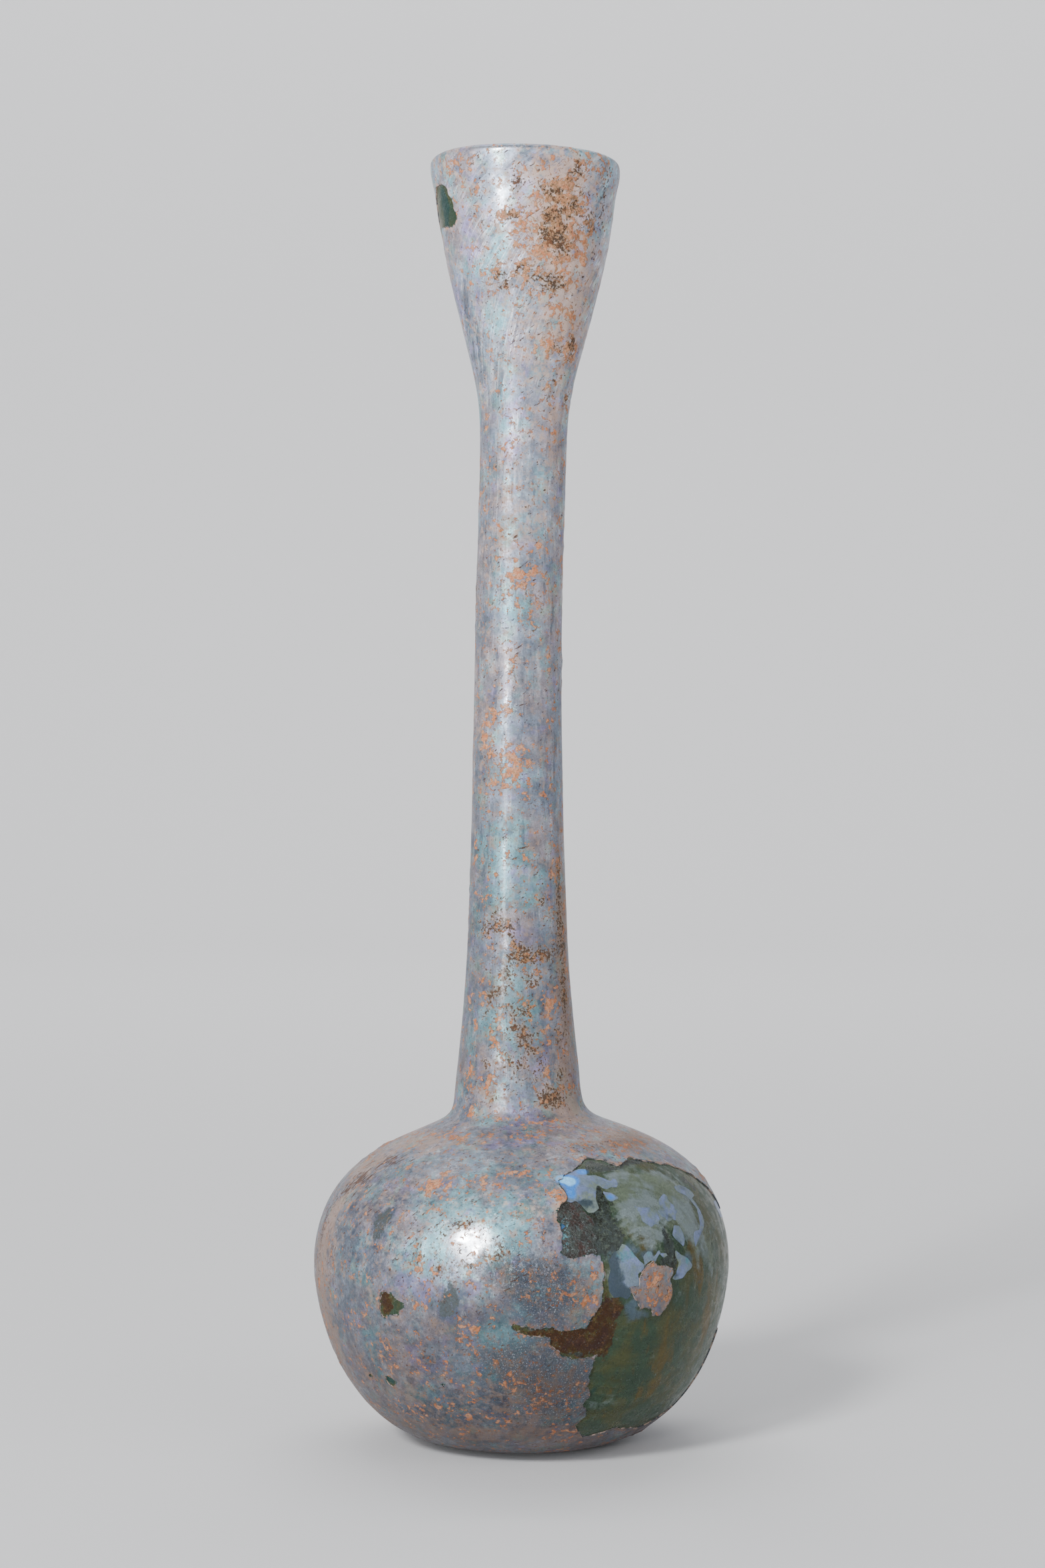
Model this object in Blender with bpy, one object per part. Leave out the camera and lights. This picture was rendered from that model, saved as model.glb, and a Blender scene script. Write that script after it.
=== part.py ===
# A free-blown glass flask: a squat round body, a tall tapering neck and a funnel mouth.
# It is one hollow solid. Metres, +Z up, with the origin under the middle of the foot.

import math

import bmesh
import bpy
from mathutils import Vector

# The foot stands on a flat ring around a shallow kick.
FOOT_RADIUS = 0.0110
FOOT_RING_WIDTH = 0.0030
KICK_DEPTH = 0.0016
FLOOR_THICKNESS = 0.0032

# The body is widest below its middle, and its shoulder breaks into the neck's root.
BODY_RADIUS = 0.0342
BODY_HEIGHT = 0.0571
WIDEST_HEIGHT = 0.0288
SHOULDER_RADIUS = 0.0185
SHOULDER_DROP = 0.0068
BODY_WALL = 0.0018

# The neck tapers from its root to the throat, under the mouth.
NECK_LENGTH = 0.0979
NECK_ROOT_RADIUS = 0.0104
THROAT_RADIUS = 0.0071
ROOT_WALL = 0.0025
NECK_WALL = 0.0021

# The mouth flares to a steeper stretch and ends in a lip rounded in the fire.
MOUTH_LENGTH = 0.0550
FLARE_HEIGHT = 0.0236
FLARE_RADIUS = 0.00935
RIM_RADIUS = 0.0156
MOUTH_WALL = 0.0019
LIP_THICKNESS = 0.0022

# Directions of the outline at its stations, in degrees from straight out and turning upwards
FOOT_LIFT = 3
UPRIGHT = 90
SHOULDER_FALL = 157
ROOT_LEAN = 95
FLARE_LEAN = 75
RIM_LEAN = 80
KICK_RISE = 160
INWARDS = 180

# How far each stretch runs on straight from its two stations, as shares of the way between them
LOWER_BODY_PULLS = (0.54, 0.12)
UPPER_BODY_PULLS = (0.53, 0.27)
NECK_FILLET_PULLS = (0.65, 0.41)
NECK_PULLS = (0.13, 0.82)
FUNNEL_PULLS = (0.57, 0.36)
MOUTH_PULLS = (0.72, 0.40)
KICK_PULLS = (0.40, 0.40)
FLOOR_PULLS = (0.30, 0.40)

# The drift of hand-blown work: the neck and the mouth stand beside the body's axis,
# the shoulder rises and the rim falls towards +X.
NECK_SWAY = -0.0007
MOUTH_SWAY = 0.00055
SHOULDER_RISE_DEG = 0.9
RIM_FALL_DEG = 1.4

# Where the neck's sway turns into the mouth's, in neck lengths above the body
SWAY_TURN_START = 0.62
SWAY_TURN_END = 1.30

# Fineness of the faceted surface
SIDES = 40
LIP_POINTS = 5
NECK_STEP = 0.0100
MOUTH_STEP = 0.0050
BODY_STEP = 0.0042
FILLET_STEP = 0.0021
MERGE_DISTANCE = 0.000001

GLASS_COLOUR = (0.50, 0.55, 0.60, 1.0)
GLASS_ROUGHNESS = 0.35
GLASS_METALLIC = 0.2


def heading(degrees):
    """A unit step along the outline, as (outward, up)."""
    turn = math.radians(degrees)
    return Vector((math.cos(turn), math.sin(turn)))


def bend(start, start_way, end, end_way, pulls, step):
    """Points of a cubic curve after its start, about one step apart."""
    reach = (end - start).length
    first = start + heading(start_way) * reach * pulls[0]
    second = end - heading(end_way) * reach * pulls[1]
    count = max(2, math.ceil(reach / step))
    points = []
    for i in range(1, count + 1):
        t = i / count
        u = 1 - t
        points.append(u**3 * start + 3 * u * u * t * first + 3 * u * t * t * second + t**3 * end)
    return points


def outside():
    """The outside from the foot's edge to below the lip, as (point, wall thickness) pairs."""
    throat_height = BODY_HEIGHT + NECK_LENGTH
    top = throat_height + MOUTH_LENGTH
    foot = Vector((FOOT_RADIUS, 0))
    widest = Vector((BODY_RADIUS, WIDEST_HEIGHT))
    shoulder = Vector((SHOULDER_RADIUS, BODY_HEIGHT - SHOULDER_DROP))
    root = Vector((NECK_ROOT_RADIUS, BODY_HEIGHT))
    throat = Vector((THROAT_RADIUS, throat_height))
    flare = Vector((FLARE_RADIUS, throat_height + FLARE_HEIGHT))
    rim = Vector((RIM_RADIUS, top - LIP_THICKNESS / 2))
    lower_body = bend(foot, FOOT_LIFT, widest, UPRIGHT, LOWER_BODY_PULLS, BODY_STEP)
    upper_body = bend(widest, UPRIGHT, shoulder, SHOULDER_FALL, UPPER_BODY_PULLS, BODY_STEP)
    neck_fillet = bend(shoulder, SHOULDER_FALL, root, ROOT_LEAN, NECK_FILLET_PULLS, FILLET_STEP)
    neck = bend(root, ROOT_LEAN, throat, UPRIGHT, NECK_PULLS, NECK_STEP)
    funnel = bend(throat, UPRIGHT, flare, FLARE_LEAN, FUNNEL_PULLS, BODY_STEP)
    mouth = bend(flare, FLARE_LEAN, rim, RIM_LEAN, MOUTH_PULLS, MOUTH_STEP)
    stretches = [
        (lower_body, FLOOR_THICKNESS, BODY_WALL),
        (upper_body, BODY_WALL, BODY_WALL),
        (neck_fillet, BODY_WALL, ROOT_WALL),
        (neck, ROOT_WALL, NECK_WALL),
        (funnel, NECK_WALL, MOUTH_WALL),
        (mouth, MOUTH_WALL, LIP_THICKNESS),
    ]
    pairs = [(foot, FLOOR_THICKNESS)]
    for points, wall_before, wall_after in stretches:
        for i, point in enumerate(points, 1):
            pairs.append((point, wall_before + (wall_after - wall_before) * i / len(points)))
    return pairs


def inside(pairs):
    """The inner face, which lies one wall thickness inside the outer one, from the foot up."""
    points = []
    for i, (point, wall) in enumerate(pairs):
        before = pairs[max(i - 1, 0)][0]
        after = pairs[min(i + 1, len(pairs) - 1)][0]
        along = (after - before).normalized()
        points.append(point + Vector((-along.y, along.x)) * wall)
    return points


def lip(outer, inner):
    """The half round that joins the two faces over the rim."""
    centre = (outer + inner) / 2
    spoke = outer - centre
    across = Vector((-spoke.y, spoke.x))
    turns = [math.pi * i / (LIP_POINTS + 1) for i in range(1, LIP_POINTS + 1)]
    return [centre + spoke * math.cos(a) + across * math.sin(a) for a in turns]


def whole_outline():
    """Half of the flask's section, from the middle of the underside round to the middle of the floor."""
    pairs = outside()
    outer = [point for point, wall in pairs]
    inner = inside(pairs)
    kick_top = Vector((0, KICK_DEPTH))
    ring_inner = Vector((FOOT_RADIUS - FOOT_RING_WIDTH, 0))
    kick = bend(ring_inner, KICK_RISE, kick_top, INWARDS, KICK_PULLS, BODY_STEP)
    floor_middle = kick_top + Vector((0, FLOOR_THICKNESS))
    floor = bend(inner[0], FOOT_LIFT + INWARDS, floor_middle, INWARDS, FLOOR_PULLS, BODY_STEP)
    return kick[::-1] + [ring_inner] + outer + lip(outer[-1], inner[-1]) + inner[::-1] + floor


def ease(value, low, high):
    """0 below low, 1 above high and a smooth rise between them."""
    t = min(max((value - low) / (high - low), 0), 1)
    return t * t * (3 - 2 * t)


def drifted(point):
    """Where the blower left a point of the turned form."""
    height = point.z
    shoulder_height = BODY_HEIGHT - SHOULDER_DROP
    throat_height = BODY_HEIGHT + NECK_LENGTH
    turn_start = BODY_HEIGHT + SWAY_TURN_START * NECK_LENGTH
    turn_end = BODY_HEIGHT + SWAY_TURN_END * NECK_LENGTH
    into_neck = ease(height, shoulder_height, BODY_HEIGHT)
    into_mouth = ease(height, turn_start, turn_end)
    rise = ease(height, WIDEST_HEIGHT, shoulder_height) - into_neck
    fall = ease(height, throat_height, throat_height + MOUTH_LENGTH)
    slope = rise * math.tan(math.radians(SHOULDER_RISE_DEG)) - fall * math.tan(math.radians(RIM_FALL_DEG))
    sway = NECK_SWAY * into_neck + (MOUTH_SWAY - NECK_SWAY) * into_mouth
    return Vector((point.x + sway, point.y, height + slope * point.x))


def glass():
    material = bpy.data.materials.new("weathered_glass")
    material.use_nodes = True
    shader = material.node_tree.nodes["Principled BSDF"]
    shader.inputs["Base Color"].default_value = GLASS_COLOUR
    shader.inputs["Roughness"].default_value = GLASS_ROUGHNESS
    shader.inputs["Metallic"].default_value = GLASS_METALLIC
    material.diffuse_color = GLASS_COLOUR
    return material


def flask():
    """Spins the half section round the axis, closes it, and lets it drift."""
    shape = bmesh.new()
    section = [shape.verts.new((point.x, 0, point.y)) for point in whole_outline()]
    edges = [shape.edges.new(pair) for pair in zip(section, section[1:])]
    bmesh.ops.spin(
        shape,
        geom=section + edges,
        cent=(0, 0, 0),
        axis=(0, 0, 1),
        angle=math.tau,
        steps=SIDES,
        use_merge=True,
    )
    bmesh.ops.remove_doubles(shape, verts=shape.verts, dist=MERGE_DISTANCE)
    bmesh.ops.recalc_face_normals(shape, faces=shape.faces)
    for vertex in shape.verts:
        vertex.co = drifted(vertex.co)
    mesh = bpy.data.meshes.new("flask")
    shape.to_mesh(mesh)
    shape.free()
    mesh.shade_smooth()
    mesh.materials.append(glass())
    vessel = bpy.data.objects.new("flask", mesh)
    bpy.context.scene.collection.objects.link(vessel)
    return vessel


def main():
    for old in list(bpy.data.objects):
        bpy.data.objects.remove(old)
    flask()


main()
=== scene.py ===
# A weathered free-blown glass flask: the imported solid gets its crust, soil, bare patches and relief.
# Metres, +Z up. The side that the photograph shows faces -Y.

import math
import random

import bmesh
import bpy
import numpy as np
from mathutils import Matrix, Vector, noise
from mathutils.bvhtree import BVHTree

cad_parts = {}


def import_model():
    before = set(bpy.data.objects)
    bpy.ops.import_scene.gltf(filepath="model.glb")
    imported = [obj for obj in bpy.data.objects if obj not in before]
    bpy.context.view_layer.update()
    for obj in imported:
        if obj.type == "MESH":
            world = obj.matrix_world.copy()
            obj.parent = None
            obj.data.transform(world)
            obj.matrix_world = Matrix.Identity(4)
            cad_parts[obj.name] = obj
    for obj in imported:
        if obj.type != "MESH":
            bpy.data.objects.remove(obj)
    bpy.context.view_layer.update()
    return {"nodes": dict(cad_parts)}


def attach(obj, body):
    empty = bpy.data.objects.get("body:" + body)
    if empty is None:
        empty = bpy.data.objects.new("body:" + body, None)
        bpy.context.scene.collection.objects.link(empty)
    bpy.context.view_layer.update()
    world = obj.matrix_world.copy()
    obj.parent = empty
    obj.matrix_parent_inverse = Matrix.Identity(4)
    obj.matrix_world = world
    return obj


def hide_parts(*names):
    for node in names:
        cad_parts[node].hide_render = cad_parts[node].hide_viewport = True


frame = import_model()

MM = 0.001
WELD = 0.000002

# The photograph's frame, and the camera found from the rim's curve and the outline
PHOTO_WIDTH = 1568
PHOTO_HEIGHT = 2353
SENSOR = 36.0
LENS = 69.6
CAMERA_PLACE = Vector((0.00009, -0.4997, 0.1077))
FOCUS_PX = LENS / SENSOR * PHOTO_HEIGHT
PX = -CAMERA_PLACE.y / FOCUS_PX

# How many pixels a place just off the outline may be brought in
MOST_STEPS_IN = 200

# Spacing of the visual mesh
BODY_STEP = 0.66 * MM
NECK_STEP = 0.82 * MM
MOUTH_STEP = 0.60 * MM
INNER_STEP = 2.2 * MM
LIP_ROWS = 9
SHARP_FROM = math.radians(55)
SNAP = 0.04 * MM
FINE_MARGIN = 0.8 * MM
BODY_COLUMNS = 320
WALL_COLUMNS = 160
NECK_COLUMNS = 80
POLE_COLUMNS = 40
BODY_COLUMNS_FROM = 17 * MM
SHOULDER_COLUMNS_FROM = 12.5 * MM
WALL_COLUMNS_FROM = 12 * MM
NECK_COLUMNS_FROM = 4 * MM

# The kick lies within this radius of the underside
KICK_REACH = 7 * MM

# How much the surface's relief and the patches' edges vary
SLOW_WAVES = 0.10 * MM
SOIL_HEIGHT = 0.36 * MM
GRIT_HEIGHT = 0.42 * MM
PIT_DEPTH = 0.05 * MM
CRUST_LUMPS = 0.020 * MM
LAYER_LUMPS = 0.09 * MM
GLASS_LUMPS = 0.010 * MM
INNER_LUMPS = 0.02 * MM
EDGE_TEETH = 0.30 * MM
EDGE_NICKS = 0.16 * MM
HIDDEN_WANDER = 1.6 * MM

# A distance past which an outline's edge no longer counts
FAR = 5 * MM

# How deep each surface lies under the crust's outer face
ROUGH_DEPTH = 0.10 * MM
FILM_DEPTH = 0.15 * MM
BARE_DEPTH = 0.18 * MM

CRUST, ROUGH, FILM, BARE, INSIDE, WALL = range(6)
CUT_FIELDS = ("bare", "film", "rough")
LEVEL_OF = {CRUST: 0, ROUGH: 1, FILM: 2, BARE: 3, INSIDE: 0}
DEPTH_OF_LEVEL = (0.0, ROUGH_DEPTH, FILM_DEPTH, BARE_DEPTH)
UNDERSIDE, OUTER, INNER = range(3)

# The flaked region on the right of the body. The first list is its edge in the photograph, and the
# second closes it round the hidden side, as (degrees from +X towards the back, height in mm).
FLAKED_EDGE = (
    (1083, 1997), (1052, 2060), (1016, 2104), (976, 2133), (953, 2144), (922, 2144), (891, 2153),
    (872, 2156), (860, 2140), (880, 2124), (875, 2109), (886, 2091), (880, 2082), (886, 2055), (895, 2035),
    (864, 2040), (842, 2033), (826, 2019), (824, 2006), (797, 2007), (770, 1993), (768, 1984), (797, 1994),
    (828, 1992), (855, 1997), (877, 1993), (895, 1970), (904, 1948), (906, 1908), (902, 1881), (886, 1883),
    (855, 1888), (842, 1881), (844, 1850), (837, 1832), (835, 1816), (851, 1796), (837, 1770), (853, 1760),
    (880, 1736), (904, 1740), (927, 1749), (944, 1735), (976, 1743), (1005, 1747), (1034, 1760),
    (1065, 1787), (1083, 1812),
)
FLAKED_BACK = (
    (5, 39), (9, 40), (13, 43), (18, 42), (22, 46), (26, 46), (29, 43), (35, 43), (38, 40), (37, 37),
    (41, 35), (48, 34), (50, 30), (46, 27), (42, 26), (40, 22), (43, 19), (41, 16), (35, 15), (31, 17),
    (27, 15), (24, 12), (17, 12), (13, 14), (8, 15), (4, 18),
)
ISLAND = (
    (965, 1903), (979, 1891), (986, 1899), (1008, 1900), (1009, 1910), (1004, 1920), (1008, 1939),
    (1005, 1951), (998, 1962), (988, 1975), (979, 1972), (973, 1962), (962, 1962), (954, 1951),
    (944, 1931), (958, 1930), (960, 1912),
)
MOUTH_PATCH = (
    (654, 283), (665, 275), (670, 280), (674, 292), (679, 297), (681, 314), (687, 323), (685, 333),
    (678, 342), (667, 340), (663, 343),
)
MOUTH_PATCH_BACK = ((176, 187), (168, 189), (166, 195), (172, 199), (180, 201))
SMALL_PATCHES = (
    ((571, 1938), (588, 1940), (593, 1950), (610, 1957), (607, 1964), (598, 1963), (597, 1976), (586, 1972),
     (574, 1979), (570, 1962)),
    ((578, 2064), (590, 2067), (598, 2075), (592, 2082), (584, 2076)),
    ((659, 2080), (668, 2073), (670, 2085)),
    ((554, 2062), (558, 2058), (561, 2064), (557, 2067)),
)

# What lies in the flaked region: a dark rough layer, and violet remains of the film
DARK_LAYER = (
    (833, 1820), (840, 1810), (846, 1803), (856, 1800), (864, 1802), (872, 1808), (880, 1820), (888, 1826),
    (892, 1836), (889, 1846), (896, 1856), (893, 1866), (898, 1876), (894, 1882), (887, 1886), (870, 1888),
    (858, 1888), (850, 1890), (843, 1885), (839, 1878), (838, 1868), (843, 1856), (842, 1846), (848, 1839),
    (840, 1832),
)
FILM_REMAINS = (
    ((858, 1757), (868, 1753), (879, 1753), (880, 1763), (893, 1762), (903, 1766), (916, 1772), (919, 1767),
     (924, 1769), (927, 1776), (925, 1781), (918, 1780), (911, 1783), (904, 1782), (900, 1778), (895, 1778),
     (894, 1788), (894, 1800), (899, 1812), (892, 1818), (882, 1819), (873, 1808), (864, 1800), (857, 1804),
     (850, 1801), (852, 1793), (846, 1783), (838, 1774), (842, 1766)),
    ((903, 1786), (908, 1788), (916, 1789), (925, 1794), (931, 1798), (924, 1799), (917, 1803), (911, 1799),
     (907, 1792)),
    ((948, 1806), (956, 1810), (964, 1812), (975, 1811), (981, 1815), (986, 1821), (990, 1829), (988, 1838),
     (983, 1836), (977, 1841), (970, 1836), (964, 1832), (962, 1824), (956, 1814)),
    ((996, 1790), (1001, 1795), (1003, 1802), (1008, 1807), (1015, 1812), (1016, 1818), (1013, 1822),
     (1014, 1831), (1009, 1829), (1003, 1834), (999, 1827), (993, 1825), (990, 1821), (986, 1817),
     (989, 1811), (989, 1799), (993, 1793)),
    ((1011, 1838), (1018, 1839), (1024, 1849), (1027, 1860), (1026, 1871), (1020, 1865), (1014, 1860),
     (1008, 1852), (1010, 1846)),
    ((1011, 1779), (1020, 1777), (1030, 1781), (1038, 1787), (1042, 1793), (1038, 1797), (1048, 1811),
     (1055, 1825), (1057, 1838), (1052, 1849), (1048, 1858), (1044, 1872), (1042, 1862), (1040, 1852),
     (1042, 1847), (1049, 1845), (1050, 1836), (1049, 1825), (1045, 1812), (1037, 1802), (1030, 1793),
     (1020, 1789), (1014, 1785)),
    ((920, 1879), (929, 1876), (933, 1866), (940, 1868), (947, 1876), (953, 1884), (959, 1891), (967, 1898),
     (966, 1903), (961, 1908), (956, 1912), (960, 1928), (957, 1932), (945, 1931), (947, 1944), (941, 1950),
     (932, 1946), (922, 1948), (914, 1938), (912, 1920), (916, 1905), (913, 1893), (917, 1886)),
    ((966, 1884), (973, 1877), (979, 1879), (980, 1886), (984, 1883), (988, 1875), (991, 1878), (986, 1887),
     (983, 1895), (977, 1891), (972, 1895), (968, 1898), (966, 1891)),
    ((990, 1881), (1000, 1880), (1002, 1884), (995, 1887)),
    ((1013, 1875), (1021, 1882), (1030, 1887), (1038, 1898), (1036, 1904), (1030, 1908), (1024, 1918),
     (1013, 1921), (1008, 1917), (1014, 1912), (1016, 1904), (1018, 1895), (1014, 1886)),
    ((1074, 1800), (1079, 1812), (1084, 1826), (1081, 1826), (1076, 1814), (1071, 1802)),
)

# Soft spots, as (x, y, half width, half height, amount) in the photograph's pixels
SOIL_SPOTS = (
    (864, 254, 16, 20, 1.3), (838, 286, 26, 20, 1.5), (776, 270, 12, 24, 0.9), (764, 322, 26, 12, 1.2),
    (826, 346, 20, 30, 1.5), (860, 306, 14, 18, 1.0), (850, 368, 18, 20, 1.1), (876, 388, 10, 26, 1.5),
    (828, 422, 26, 16, 1.3), (752, 424, 20, 22, 1.5), (784, 402, 20, 12, 1.1), (886, 338, 18, 22, 1.1),
    (904, 258, 12, 22, 0.9), (733, 338, 10, 10, 1.0), (826, 520, 22, 18, 1.3), (852, 463, 16, 12, 1.0),
    (856, 518, 14, 40, 1.1), (827, 576, 16, 28, 1.0), (850, 605, 12, 20, 0.9), (676, 244, 18, 14, 1.3),
    (705, 240, 14, 8, 0.9), (709, 289, 10, 8, 0.9), (785, 631, 14, 8, 1.0), (826, 636, 16, 10, 0.9),
    (815, 372, 44, 32, 0.7), (784, 316, 34, 12, 0.5), (800, 460, 40, 30, 0.5), (700, 262, 24, 26, 0.5),
    (843, 742, 10, 60, 0.7), (752, 690, 24, 30, 0.4), (784, 866, 36, 30, 0.9), (816, 820, 22, 22, 0.8),
    (812, 948, 28, 40, 0.6), (740, 900, 22, 22, 0.6), (728, 1112, 18, 34, 1.3), (764, 1146, 22, 22, 1.5),
    (792, 1162, 16, 16, 1.0), (748, 1060, 18, 18, 0.6), (742, 1178, 18, 20, 0.7), (757, 1245, 16, 8, 1.0),
    (714, 1280, 6, 34, 1.2), (752, 1270, 10, 20, 0.6), (836, 1300, 12, 60, 0.8), (740, 1390, 30, 16, 1.0),
    (771, 1416, 12, 14, 1.4), (790, 1436, 30, 12, 0.8), (816, 1500, 6, 22, 1.3), (846, 1410, 14, 80, 0.9),
    (744, 1548, 9, 24, 1.5), (738, 1620, 9, 22, 1.5), (722, 1480, 12, 40, 0.8), (790, 1500, 40, 36, 0.6),
    (826, 1560, 12, 12, 1.0), (836, 1520, 14, 50, 0.7), (770, 1556, 40, 26, 0.5), (830, 1640, 22, 26, 1.2),
    (709, 1661, 10, 20, 1.2), (752, 1672, 30, 10, 1.0), (700, 1600, 12, 40, 0.7), (816, 1690, 40, 10, 1.0),
    (560, 1730, 60, 20, 0.9), (660, 1708, 70, 14, 0.9), (780, 1704, 70, 12, 0.9), (940, 1716, 70, 14, 1.2),
    (652, 1782, 26, 16, 1.4), (668, 1804, 20, 12, 1.0), (700, 1764, 50, 14, 0.7), (788, 1762, 30, 14, 1.1),
    (838, 1794, 14, 14, 1.5), (812, 1788, 26, 10, 0.8), (725, 1888, 18, 10, 1.5), (740, 1876, 16, 10, 1.0),
    (688, 1864, 14, 14, 0.8), (716, 1842, 20, 12, 0.8), (630, 1882, 7, 30, 1.4), (638, 1940, 10, 30, 0.7),
    (708, 1976, 12, 14, 0.8), (722, 1934, 14, 12, 0.8), (500, 1880, 24, 50, 0.5), (498, 2010, 22, 60, 0.8),
    (636, 2038, 12, 12, 0.9), (590, 2030, 30, 20, 0.3), (700, 2000, 20, 16, 0.5), (876, 1950, 26, 26, 0.8),
    (840, 1930, 40, 26, 0.6), (768, 2062, 26, 18, 0.7), (812, 2104, 26, 24, 0.5), (862, 2116, 16, 22, 0.8),
    (880, 2060, 12, 20, 0.5), (690, 2124, 50, 16, 0.7), (600, 2110, 50, 20, 0.7), (985, 1932, 26, 36, 1.3),
    (850, 2150, 40, 12, 0.9), (980, 2150, 60, 8, 0.9), (560, 2160, 40, 14, 0.7), (1060, 1760, 30, 20, 0.9),
    (834, 300, 34, 60, 0.7), (806, 410, 44, 22, 0.5), (864, 350, 24, 70, 0.5), (846, 480, 20, 60, 0.4),
)
DARK_SPOTS = (
    (864, 256, 14, 18, 1.1), (826, 286, 18, 16, 1.3), (777, 270, 9, 20, 1.0), (762, 322, 24, 10, 1.2),
    (826, 348, 18, 28, 1.5), (860, 306, 12, 16, 1.0), (848, 368, 16, 18, 1.0), (828, 424, 26, 14, 1.5),
    (752, 422, 16, 20, 1.2), (782, 402, 18, 10, 1.2), (886, 338, 16, 18, 1.1), (904, 260, 10, 18, 1.1),
    (712, 242, 18, 6, 0.8), (709, 289, 8, 6, 1.0), (832, 524, 16, 12, 0.9), (858, 520, 10, 30, 0.9),
    (822, 590, 6, 16, 1.1), (834, 572, 6, 16, 0.9), (849, 605, 8, 18, 1.3), (694, 252, 10, 8, 0.7),
    (728, 334, 8, 8, 0.8), (740, 1390, 28, 14, 1.4), (780, 1430, 14, 14, 1.3), (820, 1432, 20, 12, 1.5),
    (814, 1342, 6, 26, 1.3), (771, 1328, 6, 6, 1.4), (729, 1334, 5, 6, 1.4), (839, 1366, 9, 100, 1.3),
    (758, 1461, 9, 8, 1.4), (796, 1475, 14, 12, 1.3), (736, 1494, 8, 8, 1.5), (750, 1484, 8, 8, 1.2),
    (815, 1510, 6, 8, 1.4), (729, 1523, 8, 8, 1.3), (779, 1549, 12, 12, 1.5), (788, 1564, 10, 8, 1.0),
    (780, 1515, 24, 7, 1.2), (805, 1576, 14, 8, 1.2), (833, 1557, 8, 14, 1.3), (727, 1592, 9, 12, 1.3),
    (815, 1596, 10, 8, 1.2), (842, 1614, 10, 12, 1.3), (828, 1650, 22, 14, 1.5), (711, 1682, 12, 8, 1.3),
    (740, 1650, 8, 10, 1.2), (848, 1500, 10, 60, 1.0), (764, 1600, 20, 10, 0.7), (790, 900, 16, 20, 0.5),
    (540, 1740, 70, 26, 0.8), (500, 1790, 30, 40, 0.8), (520, 1880, 20, 40, 0.5), (730, 1888, 16, 9, 1.1),
    (750, 1866, 12, 10, 0.9), (716, 1846, 22, 10, 0.7), (852, 2070, 26, 20, 0.6), (630, 1884, 6, 26, 0.9),
    (600, 1770, 40, 20, 0.6), (770, 2050, 24, 14, 0.7), (988, 1928, 5, 7, 1.5), (998, 1945, 10, 4, 1.2),
    (960, 1950, 6, 6, 1.1), (930, 1706, 60, 10, 0.7), (790, 1440, 46, 24, 0.7), (764, 1496, 36, 50, 0.6),
    (792, 1552, 36, 26, 0.7), (780, 1606, 40, 34, 0.5), (826, 1644, 30, 26, 0.7),
    (842, 1440, 12, 130, 0.6), (836, 330, 26, 60, 0.6), (800, 420, 46, 18, 0.5), (864, 300, 26, 50, 0.5),
    (770, 280, 14, 30, 0.5), (852, 500, 14, 60, 0.5), (760, 1380, 30, 20, 0.5), (690, 1838, 20, 10, 1.0),
    (752, 1884, 16, 20, 0.9), (700, 1897, 26, 8, 0.9), (660, 1850, 20, 30, 0.6), (664, 1900, 20, 14, 0.8),
)
WARM_SPOTS = (
    (840, 320, 56, 90, 1.5), (850, 470, 44, 80, 1.1), (830, 640, 24, 90, 0.5), (670, 250, 30, 30, 0.4),
    (846, 1400, 22, 120, 1.1), (850, 1580, 24, 120, 0.9), (720, 1640, 40, 60, 0.4),
    (620, 1712, 130, 28, 0.9), (940, 1710, 100, 30, 1.2), (490, 1970, 34, 150, 1.3),
    (700, 2150, 200, 30, 0.8), (960, 2160, 90, 14, 0.9), (600, 2080, 70, 60, 0.4),
    (722, 1120, 26, 60, 0.5), (548, 1750, 50, 30, 1.5), (500, 1830, 20, 50, 1.0), (846, 1660, 30, 40, 1.0),
    (985, 1932, 30, 40, 0.9), (886, 1950, 20, 40, 0.8), (838, 1796, 18, 18, 1.0), (780, 780, 50, 60, 0.4),
    (800, 2090, 80, 40, 0.6),
)
GRIT_SPOTS = (
    (825, 1940, 62, 44, 1.0), (800, 2040, 90, 34, 0.9), (840, 2095, 60, 50, 1.0), (760, 1900, 60, 30, 0.4),
)
AMBER_SPOTS = (
    (872, 2012, 34, 24, 1.4), (892, 1992, 26, 18, 1.4), (912, 1968, 18, 20, 1.2), (850, 2006, 26, 16, 1.0),
    (800, 1999, 30, 10, 0.9), (580, 1958, 14, 20, 1.1), (906, 2014, 14, 22, 1.0), (925, 1958, 20, 10, 0.6),
)
YELLOW_SPOTS = (
    (996, 2040, 18, 54, 1.0), (1010, 1990, 20, 40, 0.5), (1058, 1998, 16, 44, 1.4),
    (1048, 1908, 18, 34, 1.4), (1066, 1940, 18, 50, 0.6), (980, 2080, 20, 34, 0.6),
    (972, 1852, 30, 20, 0.8), (1036, 1870, 14, 14, 1.1), (1046, 1784, 10, 10, 1.0),
    (590, 1955, 20, 20, 0.9),
)
# Painted blue glints of the iridescent reflection, near the top of the flaked region
BLUE_GLINT_SPOTS = (
    (856, 1771, 13, 11, 1.5), (840, 1768, 11, 8, 1.3), (874, 1757, 12, 7, 0.9), (857, 1789, 9, 12, 0.9),
    (916, 1795, 12, 8, 0.6), (912, 1776, 14, 6, 0.4), (848, 1852, 8, 26, 0.9), (820, 1790, 16, 14, 0.6),
)
CRUMB_SPOTS = (
    (760, 2040, 80, 50, 1.0), (830, 2090, 50, 60, 0.9), (700, 2120, 140, 30, 0.8),
    (850, 1940, 40, 40, 1.2), (985, 1932, 24, 36, 1.4), (640, 2040, 60, 50, 0.6),
    (760, 2150, 200, 14, 0.9), (700, 1900, 60, 20, 0.6), (500, 1990, 30, 80, 0.7),
    (840, 330, 60, 120, 0.7), (770, 1500, 60, 160, 0.4), (800, 1170, 60, 60, 0.4),
)
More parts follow.
